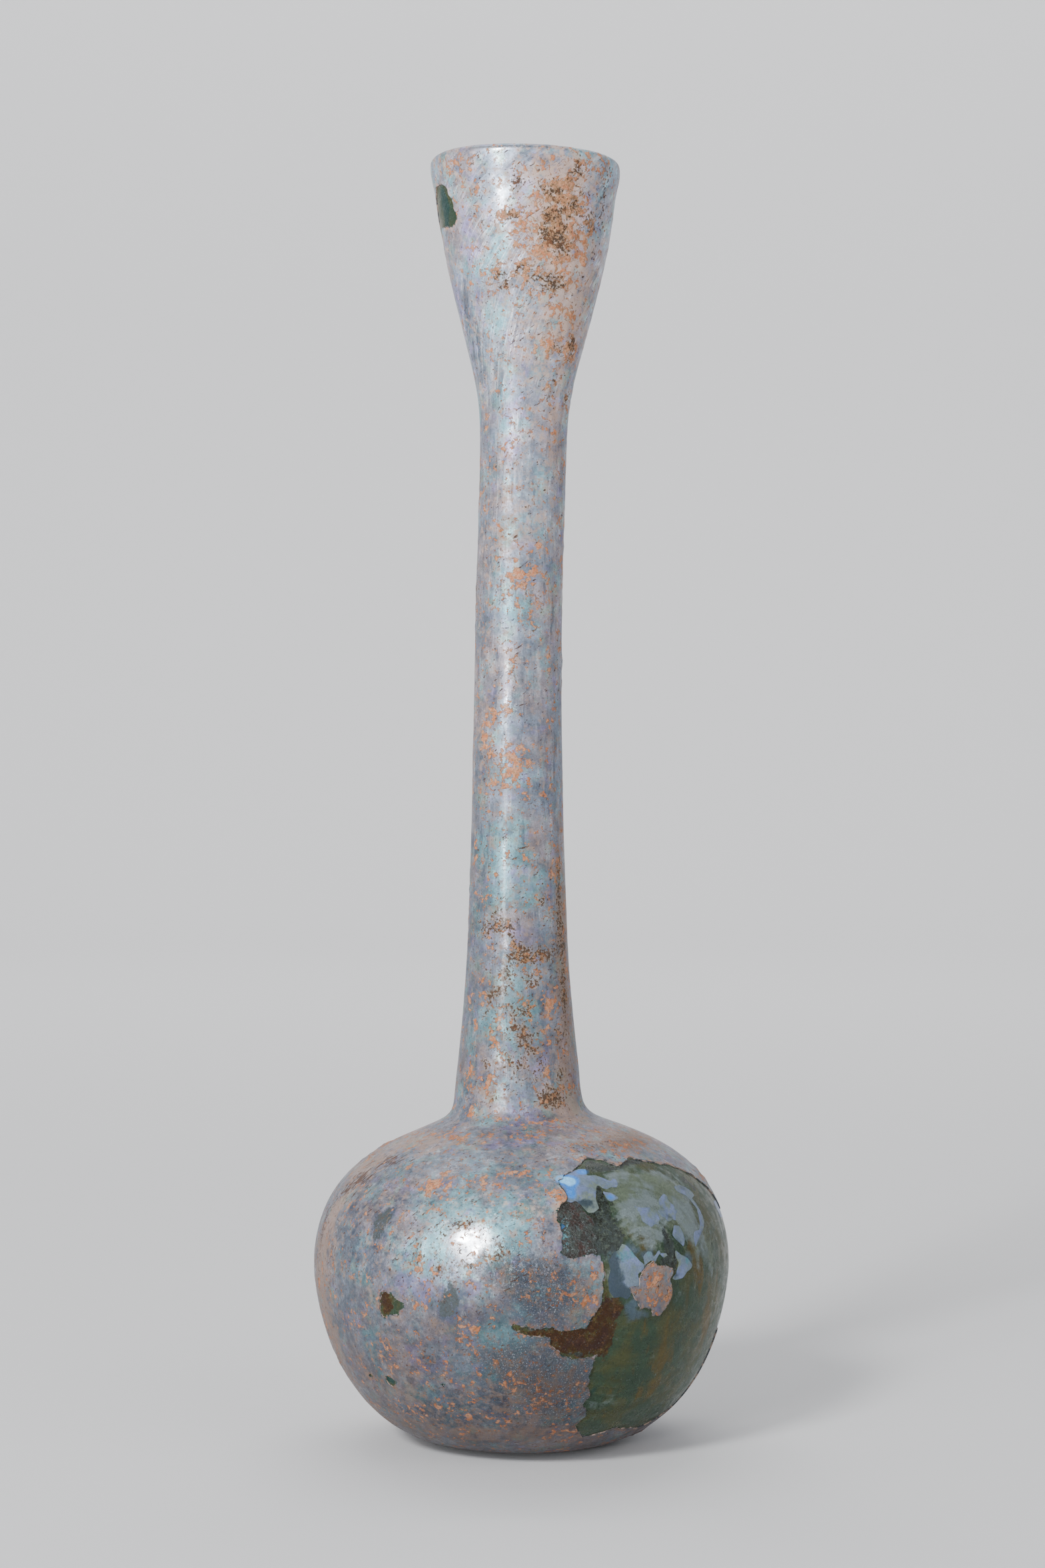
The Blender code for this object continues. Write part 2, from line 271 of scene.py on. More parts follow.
# Aqua tints of the pearl; the spots round the body's highlight also paint the bluish halo of its reflection
AQUA_SPOTS = (
    (800, 1806, 40, 26, 1.0), (760, 1850, 40, 40, 0.7), (647, 1862, 22, 30, 0.9), (612, 1900, 30, 24, 0.9),
    (700, 1800, 50, 20, 0.6), (737, 2004, 30, 20, 0.7), (780, 1960, 40, 20, 0.5), (740, 1310, 30, 60, 1.0),
    (800, 1340, 26, 40, 0.8), (764, 1250, 26, 60, 0.8), (752, 1560, 26, 90, 0.8), (700, 1590, 20, 30, 0.8),
    (792, 1480, 30, 60, 0.7), (752, 350, 12, 60, 0.7), (742, 520, 20, 90, 0.7), (775, 1695, 16, 10, 1.2),
    (720, 640, 20, 50, 0.5), (760, 790, 18, 60, 0.5), (835, 1945, 40, 40, 0.4), (730, 330, 14, 40, 0.6),
    (700, 1826, 70, 24, 0.8), (655, 1866, 20, 40, 0.8), (756, 1866, 24, 40, 0.6),
)
# Violet tints of the pearl; the spots below the body's highlight also paint the lilac of its reflection's
# halo
VIOLET_SPOTS = (
    (610, 1925, 46, 16, 1.1), (672, 1950, 40, 16, 1.0), (709, 1932, 22, 12, 0.9), (760, 1900, 22, 22, 0.6),
    (600, 1776, 60, 20, 0.5), (760, 1716, 60, 16, 0.6), (764, 1396, 30, 16, 1.0), (776, 1306, 22, 14, 1.0),
    (712, 1420, 20, 16, 0.7), (780, 1700, 30, 14, 0.8), (700, 370, 20, 60, 0.8), (690, 460, 16, 80, 0.8),
    (870, 340, 26, 60, 0.4), (766, 680, 14, 60, 0.6), (800, 1600, 26, 26, 0.7), (770, 1680, 22, 24, 0.9),
    (640, 2020, 40, 30, 0.4),
)
SHADE_SPOTS = (
    (677, 1946, 20, 30, 1.7), (668, 1966, 12, 12, 1.4), (574, 1830, 16, 14, 2.1), (586, 1820, 9, 9, 1.4),
    (568, 1852, 11, 10, 1.9), (560, 1890, 40, 30, 0.6), (530, 1830, 40, 30, 0.6), (600, 1800, 30, 16, 0.6),
    (848, 1900, 26, 22, 0.9), (826, 1842, 12, 10, 1.0), (790, 1930, 40, 24, 0.6), (800, 1960, 50, 18, 0.8),
    (560, 1760, 50, 16, 0.4), (846, 1420, 10, 18, 1.6), (838, 1404, 8, 8, 1.2), (828, 1490, 14, 10, 0.9),
    (740, 1488, 24, 14, 1.0), (704, 1500, 12, 20, 0.7), (734, 1612, 12, 12, 1.0), (706, 1640, 14, 26, 0.7),
    (720, 250, 22, 20, 0.9), (684, 252, 14, 10, 0.9), (818, 238, 26, 8, 1.1), (840, 318, 24, 18, 0.7),
    (700, 470, 16, 40, 0.8), (714, 520, 12, 40, 0.6), (790, 500, 14, 16, 0.6), (812, 1500, 16, 10, 0.8),
    (800, 2050, 70, 40, 0.5), (840, 2110, 40, 30, 0.5),
)
CRACK_SPOTS = (
    (584, 1742, 44, 16, 1.2), (545, 1768, 44, 20, 1.3), (520, 1788, 20, 18, 1.2), (493, 1822, 10, 30, 1.3),
    (483, 1866, 8, 44, 1.0), (560, 1800, 40, 30, 0.4), (476, 1930, 8, 60, 0.7), (500, 1880, 16, 60, 0.5),
    (620, 1880, 14, 44, 0.5), (640, 1800, 30, 30, 0.3), (880, 330, 30, 60, 0.4), (836, 1500, 16, 140, 0.5),
    (905, 300, 14, 60, 0.7), (900, 1722, 60, 10, 0.7), (720, 1830, 60, 26, 0.2), (690, 1880, 30, 40, 0.2),
)
MIST_SPOTS = (
    (960, 1785, 60, 34, 1.5), (1010, 1800, 44, 40, 1.2), (1040, 1850, 24, 60, 0.9),
    (950, 1830, 30, 26, 1.1), (985, 1855, 36, 24, 0.8), (1065, 1875, 14, 40, 0.9),
    (930, 1770, 20, 16, 1.0), (920, 1920, 16, 44, 0.7), (1020, 1930, 30, 30, 0.3),
    (905, 2110, 26, 20, 0.5),
)
MILKY_SPOTS = (
    (940, 1878, 24, 14, 1.4), (1030, 1892, 12, 12, 1.4), (974, 1882, 10, 9, 1.0), (944, 1894, 16, 10, 0.5),
    (950, 1960, 18, 20, 1.2), (915, 1905, 10, 40, 0.5), (960, 1975, 20, 8, 0.7), (1012, 1795, 10, 10, 0.5),
    (1047, 1860, 8, 14, 0.6),
)
DIM_SPOTS = (
    (880, 1806, 16, 12, 1.1), (912, 1925, 20, 44, 1.5), (934, 1946, 36, 14, 1.4), (920, 1900, 12, 30, 0.9),
    (950, 1912, 12, 8, 0.3), (1016, 1914, 12, 10, 0.7), (1000, 1820, 14, 14, 0.4),
    (1016, 1862, 12, 10, 0.5), (1048, 1836, 12, 40, 0.6), (1022, 1782, 16, 8, 0.5),
)
BURNT_SPOTS = (
    (893, 1748, 16, 13, 1.5), (912, 1752, 30, 6, 1.2), (956, 1741, 26, 8, 1.3), (930, 1744, 20, 6, 1.0),
    (898, 1786, 6, 16, 1.2), (906, 1806, 14, 10, 1.0), (905, 1838, 24, 30, 1.5), (880, 1806, 16, 14, 0.8),
    (925, 1860, 12, 18, 1.1), (900, 1866, 16, 20, 1.2), (1001, 1866, 10, 26, 1.3),
    (1010, 1886, 10, 20, 1.3), (994, 1894, 10, 7, 1.0), (1026, 1770, 16, 10, 1.1),
    (1042, 1782, 8, 10, 1.0), (1006, 1828, 6, 8, 0.6), (985, 1812, 10, 4, 0.8), (945, 1786, 6, 10, 0.5),
    (800, 1994, 30, 5, 0.9), (860, 2032, 30, 6, 0.8), (576, 1962, 16, 8, 0.3), (1052, 1922, 14, 6, 0.8),
)
TEAL_SPOTS = (
    (1094, 1880, 12, 120, 1.4), (1084, 1990, 12, 60, 1.2), (667, 312, 14, 40, 1.3),
    (1060, 2060, 14, 30, 0.8), (586, 2071, 14, 12, 0.8), (575, 1828, 18, 14, 0.9),
    (890, 2090, 14, 50, 0.4),
)
# Painted light round the body's highlight, and painted shade where the amount is below nought, as shares
# that raise or lower the crust's brightness
PAINTED_LIGHT_SPOTS = (
    (715, 1855, 90, 60, 0.50), (765, 1800, 90, 30, 0.45), (620, 1870, 70, 60, 0.28),
    (846, 1775, 20, 20, 0.4), (560, 1930, 90, 120, 0.12), (700, 1960, 80, 40, -0.22),
    (940, 1715, 90, 24, -0.42), (820, 2080, 70, 60, -0.32), (800, 1960, 70, 40, -0.10),
    (760, 1670, 50, 24, 0.15),
)

# The middle of the flaked region's round growth marks
FLAKED_MIDDLE = (20.0 * MM, -27.0 * MM, 32.0 * MM)

# How bright the crust is painted at each height in millimetres: partly its own tone, partly painted shade
# and light, darker low on the body and lighter up the neck and the mouth
CRUST_TONES_AND_PAINTED_SHADE = (
    (0, 0.32), (12, 0.37), (24, 0.49), (34, 0.64), (50, 0.88), (62, 0.68), (90, 0.74), (120, 0.94),
    (155, 1.14), (180, 1.38), (208, 1.48),
)
SWIRL_SPOTS = (
    (735, 500, 30, 110, 1.0), (760, 400, 34, 70, 1.0), (720, 380, 30, 60, 0.8), (790, 340, 40, 40, 0.8),
    (790, 440, 30, 60, 0.6), (740, 700, 30, 120, 0.7), (700, 460, 14, 120, 0.8), (740, 900, 30, 120, 0.5),
    (860, 1000, 14, 200, 0.4), (690, 1100, 12, 200, 0.7), (500, 1900, 20, 60, 0.5),
)
# Where the crust is glossier and its relief calmer, and where its pearl is lightened as a painted highlight
GLOSS_AND_PAINTED_HIGHLIGHT_SPOTS = (
    (708, 1864, 46, 38, 1.6), (770, 1806, 60, 20, 0.9), (762, 1036, 26, 60, 0.8), (755, 290, 26, 56, 1.1),
    (775, 1694, 20, 12, 1.2), (740, 640, 20, 120, 0.4), (856, 1772, 30, 16, 0.7), (720, 222, 50, 5, 1.1),
    (830, 222, 60, 5, 1.1), (900, 234, 30, 8, 0.8),
)

# Every mark's spots in the photograph, and the least and most that a spot on the hidden side adds
MARKS = (
    ("soil", SOIL_SPOTS, 0.4, 1.1),
    ("crumb", CRUMB_SPOTS, 0.2, 1.0),
    ("swirl", SWIRL_SPOTS, 0.0, 0.9),
    ("gloss_and_painted_highlight", GLOSS_AND_PAINTED_HIGHLIGHT_SPOTS, 0.2, 1.0),
    ("dark", DARK_SPOTS, 0.3, 1.1),
    ("warm", WARM_SPOTS, 0.2, 0.8),
    ("grit", GRIT_SPOTS, -0.6, 0.9),
    ("aqua", AQUA_SPOTS, 0.2, 1.0),
    ("violet", VIOLET_SPOTS, 0.2, 1.0),
    ("shade", SHADE_SPOTS, 0.2, 1.0),
    ("crack", CRACK_SPOTS, 0.0, 0.9),
    ("blue", BLUE_GLINT_SPOTS, 0.0, 0.2),
    ("amber", AMBER_SPOTS, 0.2, 1.0),
    ("yellow", YELLOW_SPOTS, 0.2, 1.0),
    ("mist", MIST_SPOTS, 0.2, 0.9),
    ("dim", DIM_SPOTS, 0.0, 0.9),
    ("milky", MILKY_SPOTS, -0.5, 0.9),
    ("burnt", BURNT_SPOTS, 0.2, 0.9),
    ("teal", TEAL_SPOTS, -0.4, 0.9),
)
MOST_AMOUNT = 1.5
UNDERSIDE_SOIL = 0.8

# The hidden side is finished in keeping, with spots and patches from one seed. Its one wide patch is
# given by its degrees, its share of the way to the widest ring and its size.
SEED = 7
HIDDEN_SPOTS = 70
HIDDEN_PATCHES = 13
HIDDEN_REMAINS = 39
WIDE_HIDDEN_PATCH = (128, 1.05, 6.5 * MM)
HIDDEN_FROM = math.radians(14)
HIDDEN_TO = math.radians(176)
PATCH_SIZES = (0.7 * MM, 1.0 * MM, 1.4 * MM, 2.4 * MM)
PATCH_POINTS = 28
PATCH_LOBES = 4

# Streaks are read at one girth and a slow pace on the neck, and lean round the mouth
STREAK_RADIUS = 9 * MM
STREAK_PACE = 0.22
MOUTH_TURN = math.radians(110)

# The side of the map that the finish is spread on, in millimetres of wall
MAP_SIDE = 220.0


def smooth(value, low, high):
    t = np.clip((value - low) / (high - low), 0, 1)
    return t * t * (3 - 2 * t)


def wrapped(angle):
    return (angle + math.pi) % math.tau - math.pi


def unrolled(places, shift):
    """Azimuth and radius of these places round the wall's own middle."""
    x = places[:, 0] - shift
    return np.arctan2(places[:, 1], x), np.hypot(x, places[:, 1])


def grain(places, size, octaves=1, seed=0.0):
    """Soft noise from about -1 to 1 at these places, with features of this size."""
    shift = Vector((seed, seed * 1.7, seed * 2.3))
    if octaves == 1:
        return np.array([noise.noise(Vector(p) / size + shift) for p in places])
    return np.array([noise.fractal(Vector(p) / size + shift, 0.9, 2.1, octaves) for p in places])


# The section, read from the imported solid

def section_stations(node):
    """Radius, height, sideways shift and rise towards +X of each ring, from the middle of the underside
    round over the rim to the middle of the floor inside."""
    shape = bmesh.new()
    shape.from_mesh(node.data)
    bmesh.ops.remove_doubles(shape, verts=shape.verts, dist=WELD)
    flat = {v for v in shape.verts if abs(v.co.y) < WELD}
    poles = sorted((v for v in flat if abs(v.co.x) < WELD), key=lambda v: v.co.z)

    def chain(side):
        path = [poles[0]]
        while path[-1] is not poles[-1]:
            ahead = [edge.other_vert(path[-1]) for edge in path[-1].link_edges]
            path.append(next(v for v in ahead if v in flat and v not in path and v.co.x * side > -WELD))
        return path

    stations = []
    for right, left in zip(chain(1), chain(-1)):
        a = right.co
        b = left.co
        stations.append(((a.x - b.x) / 2, (a.z + b.z) / 2, (a.x + b.x) / 2, (a.z - b.z) / 2))
    shape.free()
    return np.array(stations)


class Curve:
    """A smooth curve through the stations, measured by the distance along it."""

    def __init__(self, stations):
        self.stations = stations
        gaps = np.linalg.norm(np.diff(stations[:, :2], axis=0), axis=1)
        self.at = np.concatenate(([0], np.cumsum(gaps)))
        slopes = np.diff(stations, axis=0) / gaps[:, None]
        both = (gaps[:-1] + gaps[1:])[:, None]
        inner = (slopes[:-1] * gaps[1:, None] + slopes[1:] * gaps[:-1, None]) / both
        self.slopes = np.vstack((slopes[:1], inner, slopes[-1:]))

    def __call__(self, distance):
        i = np.clip(np.searchsorted(self.at, distance, side="right") - 1, 0, len(self.at) - 2)
        gap = self.at[i + 1] - self.at[i]
        t = ((distance - self.at[i]) / gap)[:, None]
        gap = gap[:, None]
        before = self.stations[i]
        after = self.stations[i + 1]
        return (
            (1 + 2 * t) * (1 - t) ** 2 * before
            + t * (1 - t) ** 2 * gap * self.slopes[i]
            + t * t * (3 - 2 * t) * after
            + t * t * (t - 1) * gap * self.slopes[i + 1]
        )


def stepped(start, end, step):
    """Distances from start to end about one step apart, without the end."""
    return np.linspace(start, end, max(2, math.ceil((end - start) / step)), endpoint=False)


def ring_plan(stations):
    """The rings of the visual mesh: a row each of radius, height, shift, rise, columns, surface and
    distance along the outside."""
    standing = np.flatnonzero(np.abs(stations[:, 1]) < WELD)
    kick = Curve(stations[: standing[0] + 1])
    shell = stations[standing[-1]:]
    curve = Curve(shell)
    top = int(np.argmax(shell[:, 1]))
    lip = 3
    widest = int(np.argmax(shell[:top, 0]))
    heading = np.arctan2(np.diff(shell[:top, 1]), np.diff(shell[:top, 0]))
    shoulder = widest + int(np.argmax(heading[widest:]))
    root = shoulder + int(np.argmax(heading[shoulder:] < math.radians(100)))
    throat = root + int(np.argmin(shell[root:top, 0]))
    inner_root = len(shell) - 1 - root
    rows = []

    def add(found, surface, distances):
        for (radius, height, shift, rise), distance in zip(found, distances):
            if surface == OUTER:
                wide_from = BODY_COLUMNS_FROM if distance < curve.at[widest] else SHOULDER_COLUMNS_FROM
                on_body = distance < curve.at[root] and radius > wide_from
                on_neck = curve.at[root] + 4 * MM < distance < curve.at[throat]
                columns = BODY_COLUMNS if on_body else NECK_COLUMNS if on_neck else WALL_COLUMNS
            elif radius > WALL_COLUMNS_FROM:
                columns = WALL_COLUMNS
            else:
                columns = NECK_COLUMNS if radius > NECK_COLUMNS_FROM else POLE_COLUMNS
            if rows:
                columns = min(columns, rows[-1][4] * 2)
                columns = max(columns, rows[-1][4] // 2)
            rows.append((radius, height, shift, rise, columns, surface, distance))

    under = stepped(0, kick.at[-1], 1.1 * MM)[1:]
    add(kick(under), UNDERSIDE, under * 0)
    flat_ring = Curve(stations[standing])
    flat = stepped(0, flat_ring.at[-1], 1.0 * MM)
    add(flat_ring(flat), UNDERSIDE, flat * 0)
    for start, end, step in (
        (0, curve.at[root], BODY_STEP),
        (curve.at[root], curve.at[throat], NECK_STEP),
        (curve.at[throat], curve.at[top - lip], MOUTH_STEP),
        (curve.at[top - lip], curve.at[top + lip], (curve.at[top + lip] - curve.at[top - lip]) / LIP_ROWS),
    ):
        at = stepped(start, end, step)
        add(curve(at), OUTER, at)
    mouth_end = curve.at[top + lip] + (curve.at[top - lip] - curve.at[throat])
    for start, end, step in (
        (curve.at[top + lip], mouth_end, 1.1 * MM),
        (mouth_end, curve.at[inner_root], INNER_STEP),
        (curve.at[inner_root], curve.at[-1], INNER_STEP),
    ):
        at = stepped(start, end, step)
        add(curve(at), INNER, at)
    marks = {name: curve.at[i] for name, i in (("widest", widest), ("root", root), ("throat", throat))}
    marks["rim"] = curve.at[top]
    marks["mouth_end"] = mouth_end
    marks["inner_root"] = curve.at[inner_root]
    poles = (stations[0, 1], stations[-1, 1])
    return rows, marks, poles


def base_mesh(rows, poles):
    """Vertices and faces of the closed flask before any relief. A face is (vertices, surface)."""
    places = [(0, 0, poles[0])]
    facts = [(0.0, 0.0)]
    starts = []
    for radius, height, shift, rise, columns, surface, distance in rows:
        starts.append(len(places))
        turn = np.arange(columns) * math.tau / columns
        x = shift + radius * np.cos(turn)
        y = radius * np.sin(turn)
        z = height + rise * np.cos(turn)
        places.extend(zip(x, y, z))
        facts.extend([(distance, shift)] * columns)
    faces = []
    first = starts[0]
    last = starts[-1]
    for j in range(rows[0][4]):
        faces.append(((0, first + (j + 1) % rows[0][4], first + j), UNDERSIDE))
    for i in range(len(rows) - 1):
        a = starts[i]
        b = starts[i + 1]
        before = rows[i][4]
        after = rows[i + 1][4]
        surface = rows[i][5]
        if before == after:
            for j in range(before):
                k = (j + 1) % before
                faces.append(((a + j, a + k, b + k, b + j), surface))
        elif before > after:
            for j in range(after):
                k = (j + 1) % after
                left, middle, right = a + 2 * j, a + 2 * j + 1, a + (2 * j + 2) % before
                faces.append(((left, middle, b + j), surface))
                faces.append(((middle, b + k, b + j), surface))
                faces.append(((middle, right, b + k), surface))
        else:
            for j in range(before):
                k = (j + 1) % before
                left, middle, right = b + 2 * j, b + 2 * j + 1, b + (2 * j + 2) % after
                faces.append(((a + j, middle, left), surface))
                faces.append(((a + j, a + k, middle), surface))
                faces.append(((a + k, right, middle), surface))
    end = len(places)
    places.append((0, 0, poles[1]))
    facts.append((rows[-1][6], 0.0))
    for j in range(rows[-1][4]):
        faces.append(((last + j, last + (j + 1) % rows[-1][4], end), INNER))
    return np.array(places), np.array(facts), faces


# Places taken from the photograph, brought onto the flask's outside

class Seen:
    """Finds where the photograph's pixels lie on the outside, as (azimuth, distance along the outside)."""

    def __init__(self, rows, node):
        shape = bmesh.new()
        shape.from_mesh(node.data)
        self.tree = BVHTree.FromBMesh(shape)
        shape.free()
        outer = np.array([row for row in rows if row[5] == OUTER])
        self.radius, self.height, self.shift, self.rise = outer[:, :4].T
        self.along = outer[:, 6]
        rising = np.maximum.accumulate(self.height)
        self.height = rising + np.arange(len(rising)) * 1e-9

    def of_place(self, place):
        height = place.z
        azimuth = 0.0
        for _ in range(3):
            shift = np.interp(height, self.height, self.shift)
            azimuth = math.atan2(place.y, place.x - shift)
            height = place.z - np.interp(height, self.height, self.rise) * math.cos(azimuth)
        return azimuth, float(np.interp(height, self.height, self.along))

    def of_pixel(self, x, y):
        """The place that a pixel shows, or the nearest one towards the axis where it shows none."""
        axis = PHOTO_WIDTH / 2
        for _ in range(MOST_STEPS_IN):
            way = Vector(((x - axis) / FOCUS_PX, 1, (PHOTO_HEIGHT / 2 - y) / FOCUS_PX))
            hit = self.tree.ray_cast(CAMERA_PLACE, way.normalized())[0]
            if hit:
                return self.of_place(hit)
            x += 1 if x < axis else -1
        raise ValueError(f"no place on the flask near pixel {x}, {y}")

    def of_side(self, degrees, height):
        return math.radians(degrees), float(np.interp(height * MM, self.height, self.along))

    def outline(self, pixels, round_side=()):
        return [self.of_pixel(*p) for p in pixels] + [self.of_side(*p) for p in round_side]


def distance_to(outline, azimuth, along, radius):
    """Signed distance to a closed outline on the unrolled outside, negative inside it."""
    start = outline[0][0]
    turns = np.array([start + wrapped(a - start) for a, _ in outline])
    for i in range(1, len(turns)):
        turns[i] = turns[i - 1] + wrapped(turns[i] - turns[i - 1])
    levels = np.array([s for _, s in outline])
    middle = (turns.min() + turns.max()) / 2
    turns -= middle
    turn = wrapped(azimuth - middle)
    result = np.full(len(azimuth), FAR)
    near = (
        (turn * radius > turns.min() * radius - FAR)
        & (turn * radius < turns.max() * radius + FAR)
        & (along > levels.min() - FAR)
        & (along < levels.max() + FAR)
    )
    x = turn[near][:, None]
    y = along[near][:, None]
    r = radius[near][:, None]
    ax, ay = turns[None], levels[None]
    bx, by = np.roll(turns, -1)[None], np.roll(levels, -1)[None]
    reach = ((bx - ax) * r) ** 2 + (by - ay) ** 2
    share = np.clip((((x - ax) * (bx - ax)) * r * r + (y - ay) * (by - ay)) / reach, 0, 1)
    gap = np.hypot((x - ax - share * (bx - ax)) * r, y - ay - share * (by - ay)).min(axis=1)
    rise = np.where(by == ay, 1e-12, by - ay)
    crossing = ((ay > y) != (by > y)) & (x < ax + (y - ay) / rise * (bx - ax))
    result[near] = np.where(crossing.sum(axis=1) % 2 == 1, -gap, gap)
    return result


def soft_spots(spots, azimuth, along, radius):
    """The sum of round soft spots, each (azimuth, distance along, half width, half height, amount)."""
    total = np.zeros(len(azimuth))
    for spot_azimuth, spot_along, wide, high, amount in spots:
        x = wrapped(azimuth - spot_azimuth) * radius / wide
        y = (along - spot_along) / high
        total += amount * np.exp(-(x * x + y * y))
    return np.minimum(total, MOST_AMOUNT)


def photo_spots(seen, spots):
    return [(*seen.of_pixel(x, y), wide * PX, high * PX, amount) for x, y, wide, high, amount in spots]


def hidden_spots(marks, count, low, high, draw):
    """Spots on the side that the photograph doesn't show."""
    made = []
    for _ in range(count):
        azimuth = draw.uniform(HIDDEN_FROM, HIDDEN_TO)
        along = draw.uniform(0, marks["rim"])
        wide = draw.uniform(1.5 * MM, 5.0 * MM)
        tall = wide * draw.uniform(0.6, 1.8)
        made.append((azimuth, along, wide, tall, draw.uniform(low, high)))
    return made


def hidden_patches(marks, count, draw, wide=()):
    """Outlines of flaked patches with lobed edges on the hidden side. The first is the wide one, where
    that is given."""
    made = []
    for i in range(count):
        azimuth = draw.uniform(HIDDEN_FROM + 0.5, HIDDEN_TO - 0.2)
        on_body = i % 3 != 2
        if on_body:
            along = draw.uniform(0.18, 0.9) * marks["root"]
        else:
            along = draw.uniform(marks["root"], marks["rim"] * 0.97)
        size = draw.choice(PATCH_SIZES) * (1 if on_body else 0.7)
        if i == 0 and wide:
            azimuth, along, size = math.radians(wide[0]), marks["widest"] * wide[1], wide[2]
        radius = 30 * MM if on_body else 9 * MM
        phases = [draw.uniform(0, math.tau) for _ in range(PATCH_LOBES)]
        outline = []
        for k in range(PATCH_POINTS):
            turn = k * math.tau / PATCH_POINTS
            waves = [math.sin((n + 2) * turn + phases[n]) / (n + 1) ** 0.5 for n in range(PATCH_LOBES)]
            reach = size * (1 + 0.26 * sum(waves))
            rise = reach * 1.15 * math.sin(turn)
            outline.append((azimuth + reach * math.cos(turn) / radius, along + rise))
        made.append(outline)
    return made


# Cutting the mesh along the edges of the patches

def split_by_sign(face, layer):
    """Splits a face that the line of nought crosses, until each part lies on one side of it."""
    waiting = [face]
    while waiting:
        part = waiting.pop()
        values = [v[layer] for v in part.verts]
        if min(values) >= 0 or max(values) <= 0:
            continue
        count = len(values)
        zeros = [i for i in range(count) if values[i] == 0]
        pairs = [(a, b) for a in zeros for b in zeros if 1 < b - a < count - 1]
        if not pairs:
            continue
        a, b = pairs[0]
        made = bmesh.utils.face_split(part, part.verts[a], part.verts[b])[0]
        if made:
            waiting.extend((part, made))


def cut_along(shape, layer, snap):
    """Cuts the faces where this layer's field passes nought, and leaves the cut at exactly nought."""
    for vertex in shape.verts:
        if abs(vertex[layer]) < snap:
            vertex[layer] = 0.0
    crossed = [e for e in shape.edges if e.verts[0][layer] * e.verts[1][layer] < 0]
    for edge in crossed:
        start, end = edge.verts
        share = start[layer] / (start[layer] - end[layer])
        made = bmesh.utils.edge_split(edge, start, share)[1]
        made[layer] = 0.0
    faces = {f for v in shape.verts if v[layer] == 0 for f in v.link_faces}
    for face in sorted(faces, key=lambda f: f.calc_center_median()[:]):
        split_by_sign(face, layer)


def label_of(face, layers, surface, along, mouth_end):
    """Which finish a face wears, from the fields at its corners."""
    bare, film, rough = layers
    if surface == INNER:
        return INSIDE if min(v[along] for v in face.verts) > mouth_end else CRUST
    if surface == UNDERSIDE or sum(v[bare] for v in face.verts) >= 0:
        return CRUST
    if sum(v[film] for v in face.verts) < 0:
        return FILM
    if sum(v[rough] for v in face.verts) < 0:
        return ROUGH
    return BARE


def stepped_mesh(shape, surface_layer, layers, along, mouth_end, offsets):
    """Sinks each labelled surface to its own depth and closes the steps between them with walls.
    Gives the places, faces, face labels, face surfaces, and the source vertex of each vertex."""
    shape.verts.ensure_lookup_table()
    shape.verts.index_update()
    shape.faces.index_update()
    label = {}
    surface = {}
    for face in shape.faces:
        surface[face.index] = face[surface_layer]
        label[face.index] = label_of(face, layers, face[surface_layer], along, mouth_end)
    number = {}
    source = []
    level_at = []

    def copy_of(vertex, level):
        key = (vertex.index, level)
        if key not in number:
            number[key] = len(source)
            source.append(vertex.index)
            level_at.append(level)
        return number[key]

    faces = []
    labels = []
    surfaces = []
    walls = []
    for face in shape.faces:
        level = LEVEL_OF[label[face.index]]
        faces.append([copy_of(v, level) for v in face.verts])
        labels.append(label[face.index])
        surfaces.append(surface[face.index])
        walls.append(False)
    levels_of = {}
    for index, level in number:
        levels_of.setdefault(index, set()).add(level)
    for edge in shape.edges:
        high, low = sorted(edge.link_loops, key=lambda loop: LEVEL_OF[label[loop.face.index]])
        top = LEVEL_OF[label[high.face.index]]
        bottom = LEVEL_OF[label[low.face.index]]
        if top == bottom:
            continue
        start = high.vert
        end = edge.other_vert(start)
        down = [copy_of(start, n) for n in sorted(levels_of[start.index]) if top <= n <= bottom]
        up = [copy_of(end, n) for n in sorted(levels_of[end.index], reverse=True) if top <= n <= bottom]
        faces.append(down + up)
        labels.append(WALL if top == LEVEL_OF[CRUST] else label[high.face.index])
        surfaces.append(surface[high.face.index])
        walls.append(True)
    source = np.array(source)
    level_at = np.array(level_at)
    where = np.array([v.co for v in shape.verts])[source]
    normal = np.array([v.normal for v in shape.verts])[source]
    depth = np.array(DEPTH_OF_LEVEL)[level_at]
    where = where + normal * (offsets(source, level_at) - depth)[:, None]
    where[:, 2] = np.maximum(where[:, 2], 0.0)
    return where, faces, labels, surfaces, walls, source


# What the soil, the stains and the streaks follow, kept on the mesh for the materials to read

def wound_places(azimuth, along, radius, marks):
    """Places that run straight up the neck and lean round the mouth, so that noise read at them makes
    streaks there, as the glass was drawn and turned. On the body they follow the surface."""
    root = marks["root"]
    throat = marks["throat"]
    drawn = smooth(along, root - 2 * MM, root + 5 * MM)
    girth = radius + (STREAK_RADIUS - radius) * drawn
    table = np.linspace(0, along.max(), 600)
    pace = 1 - (1 - STREAK_PACE) * smooth(table, root - 4 * MM, root + 6 * MM)
    run = np.concatenate(([0], np.cumsum(pace[1:] * np.diff(table))))
    lean = np.clip((along - throat) / (marks["rim"] - throat), 0, 1) ** 2.4 * MOUTH_TURN
    turn = azimuth - lean
    return np.stack((girth * np.cos(turn), girth * np.sin(turn), np.interp(along, table, run)), axis=1)


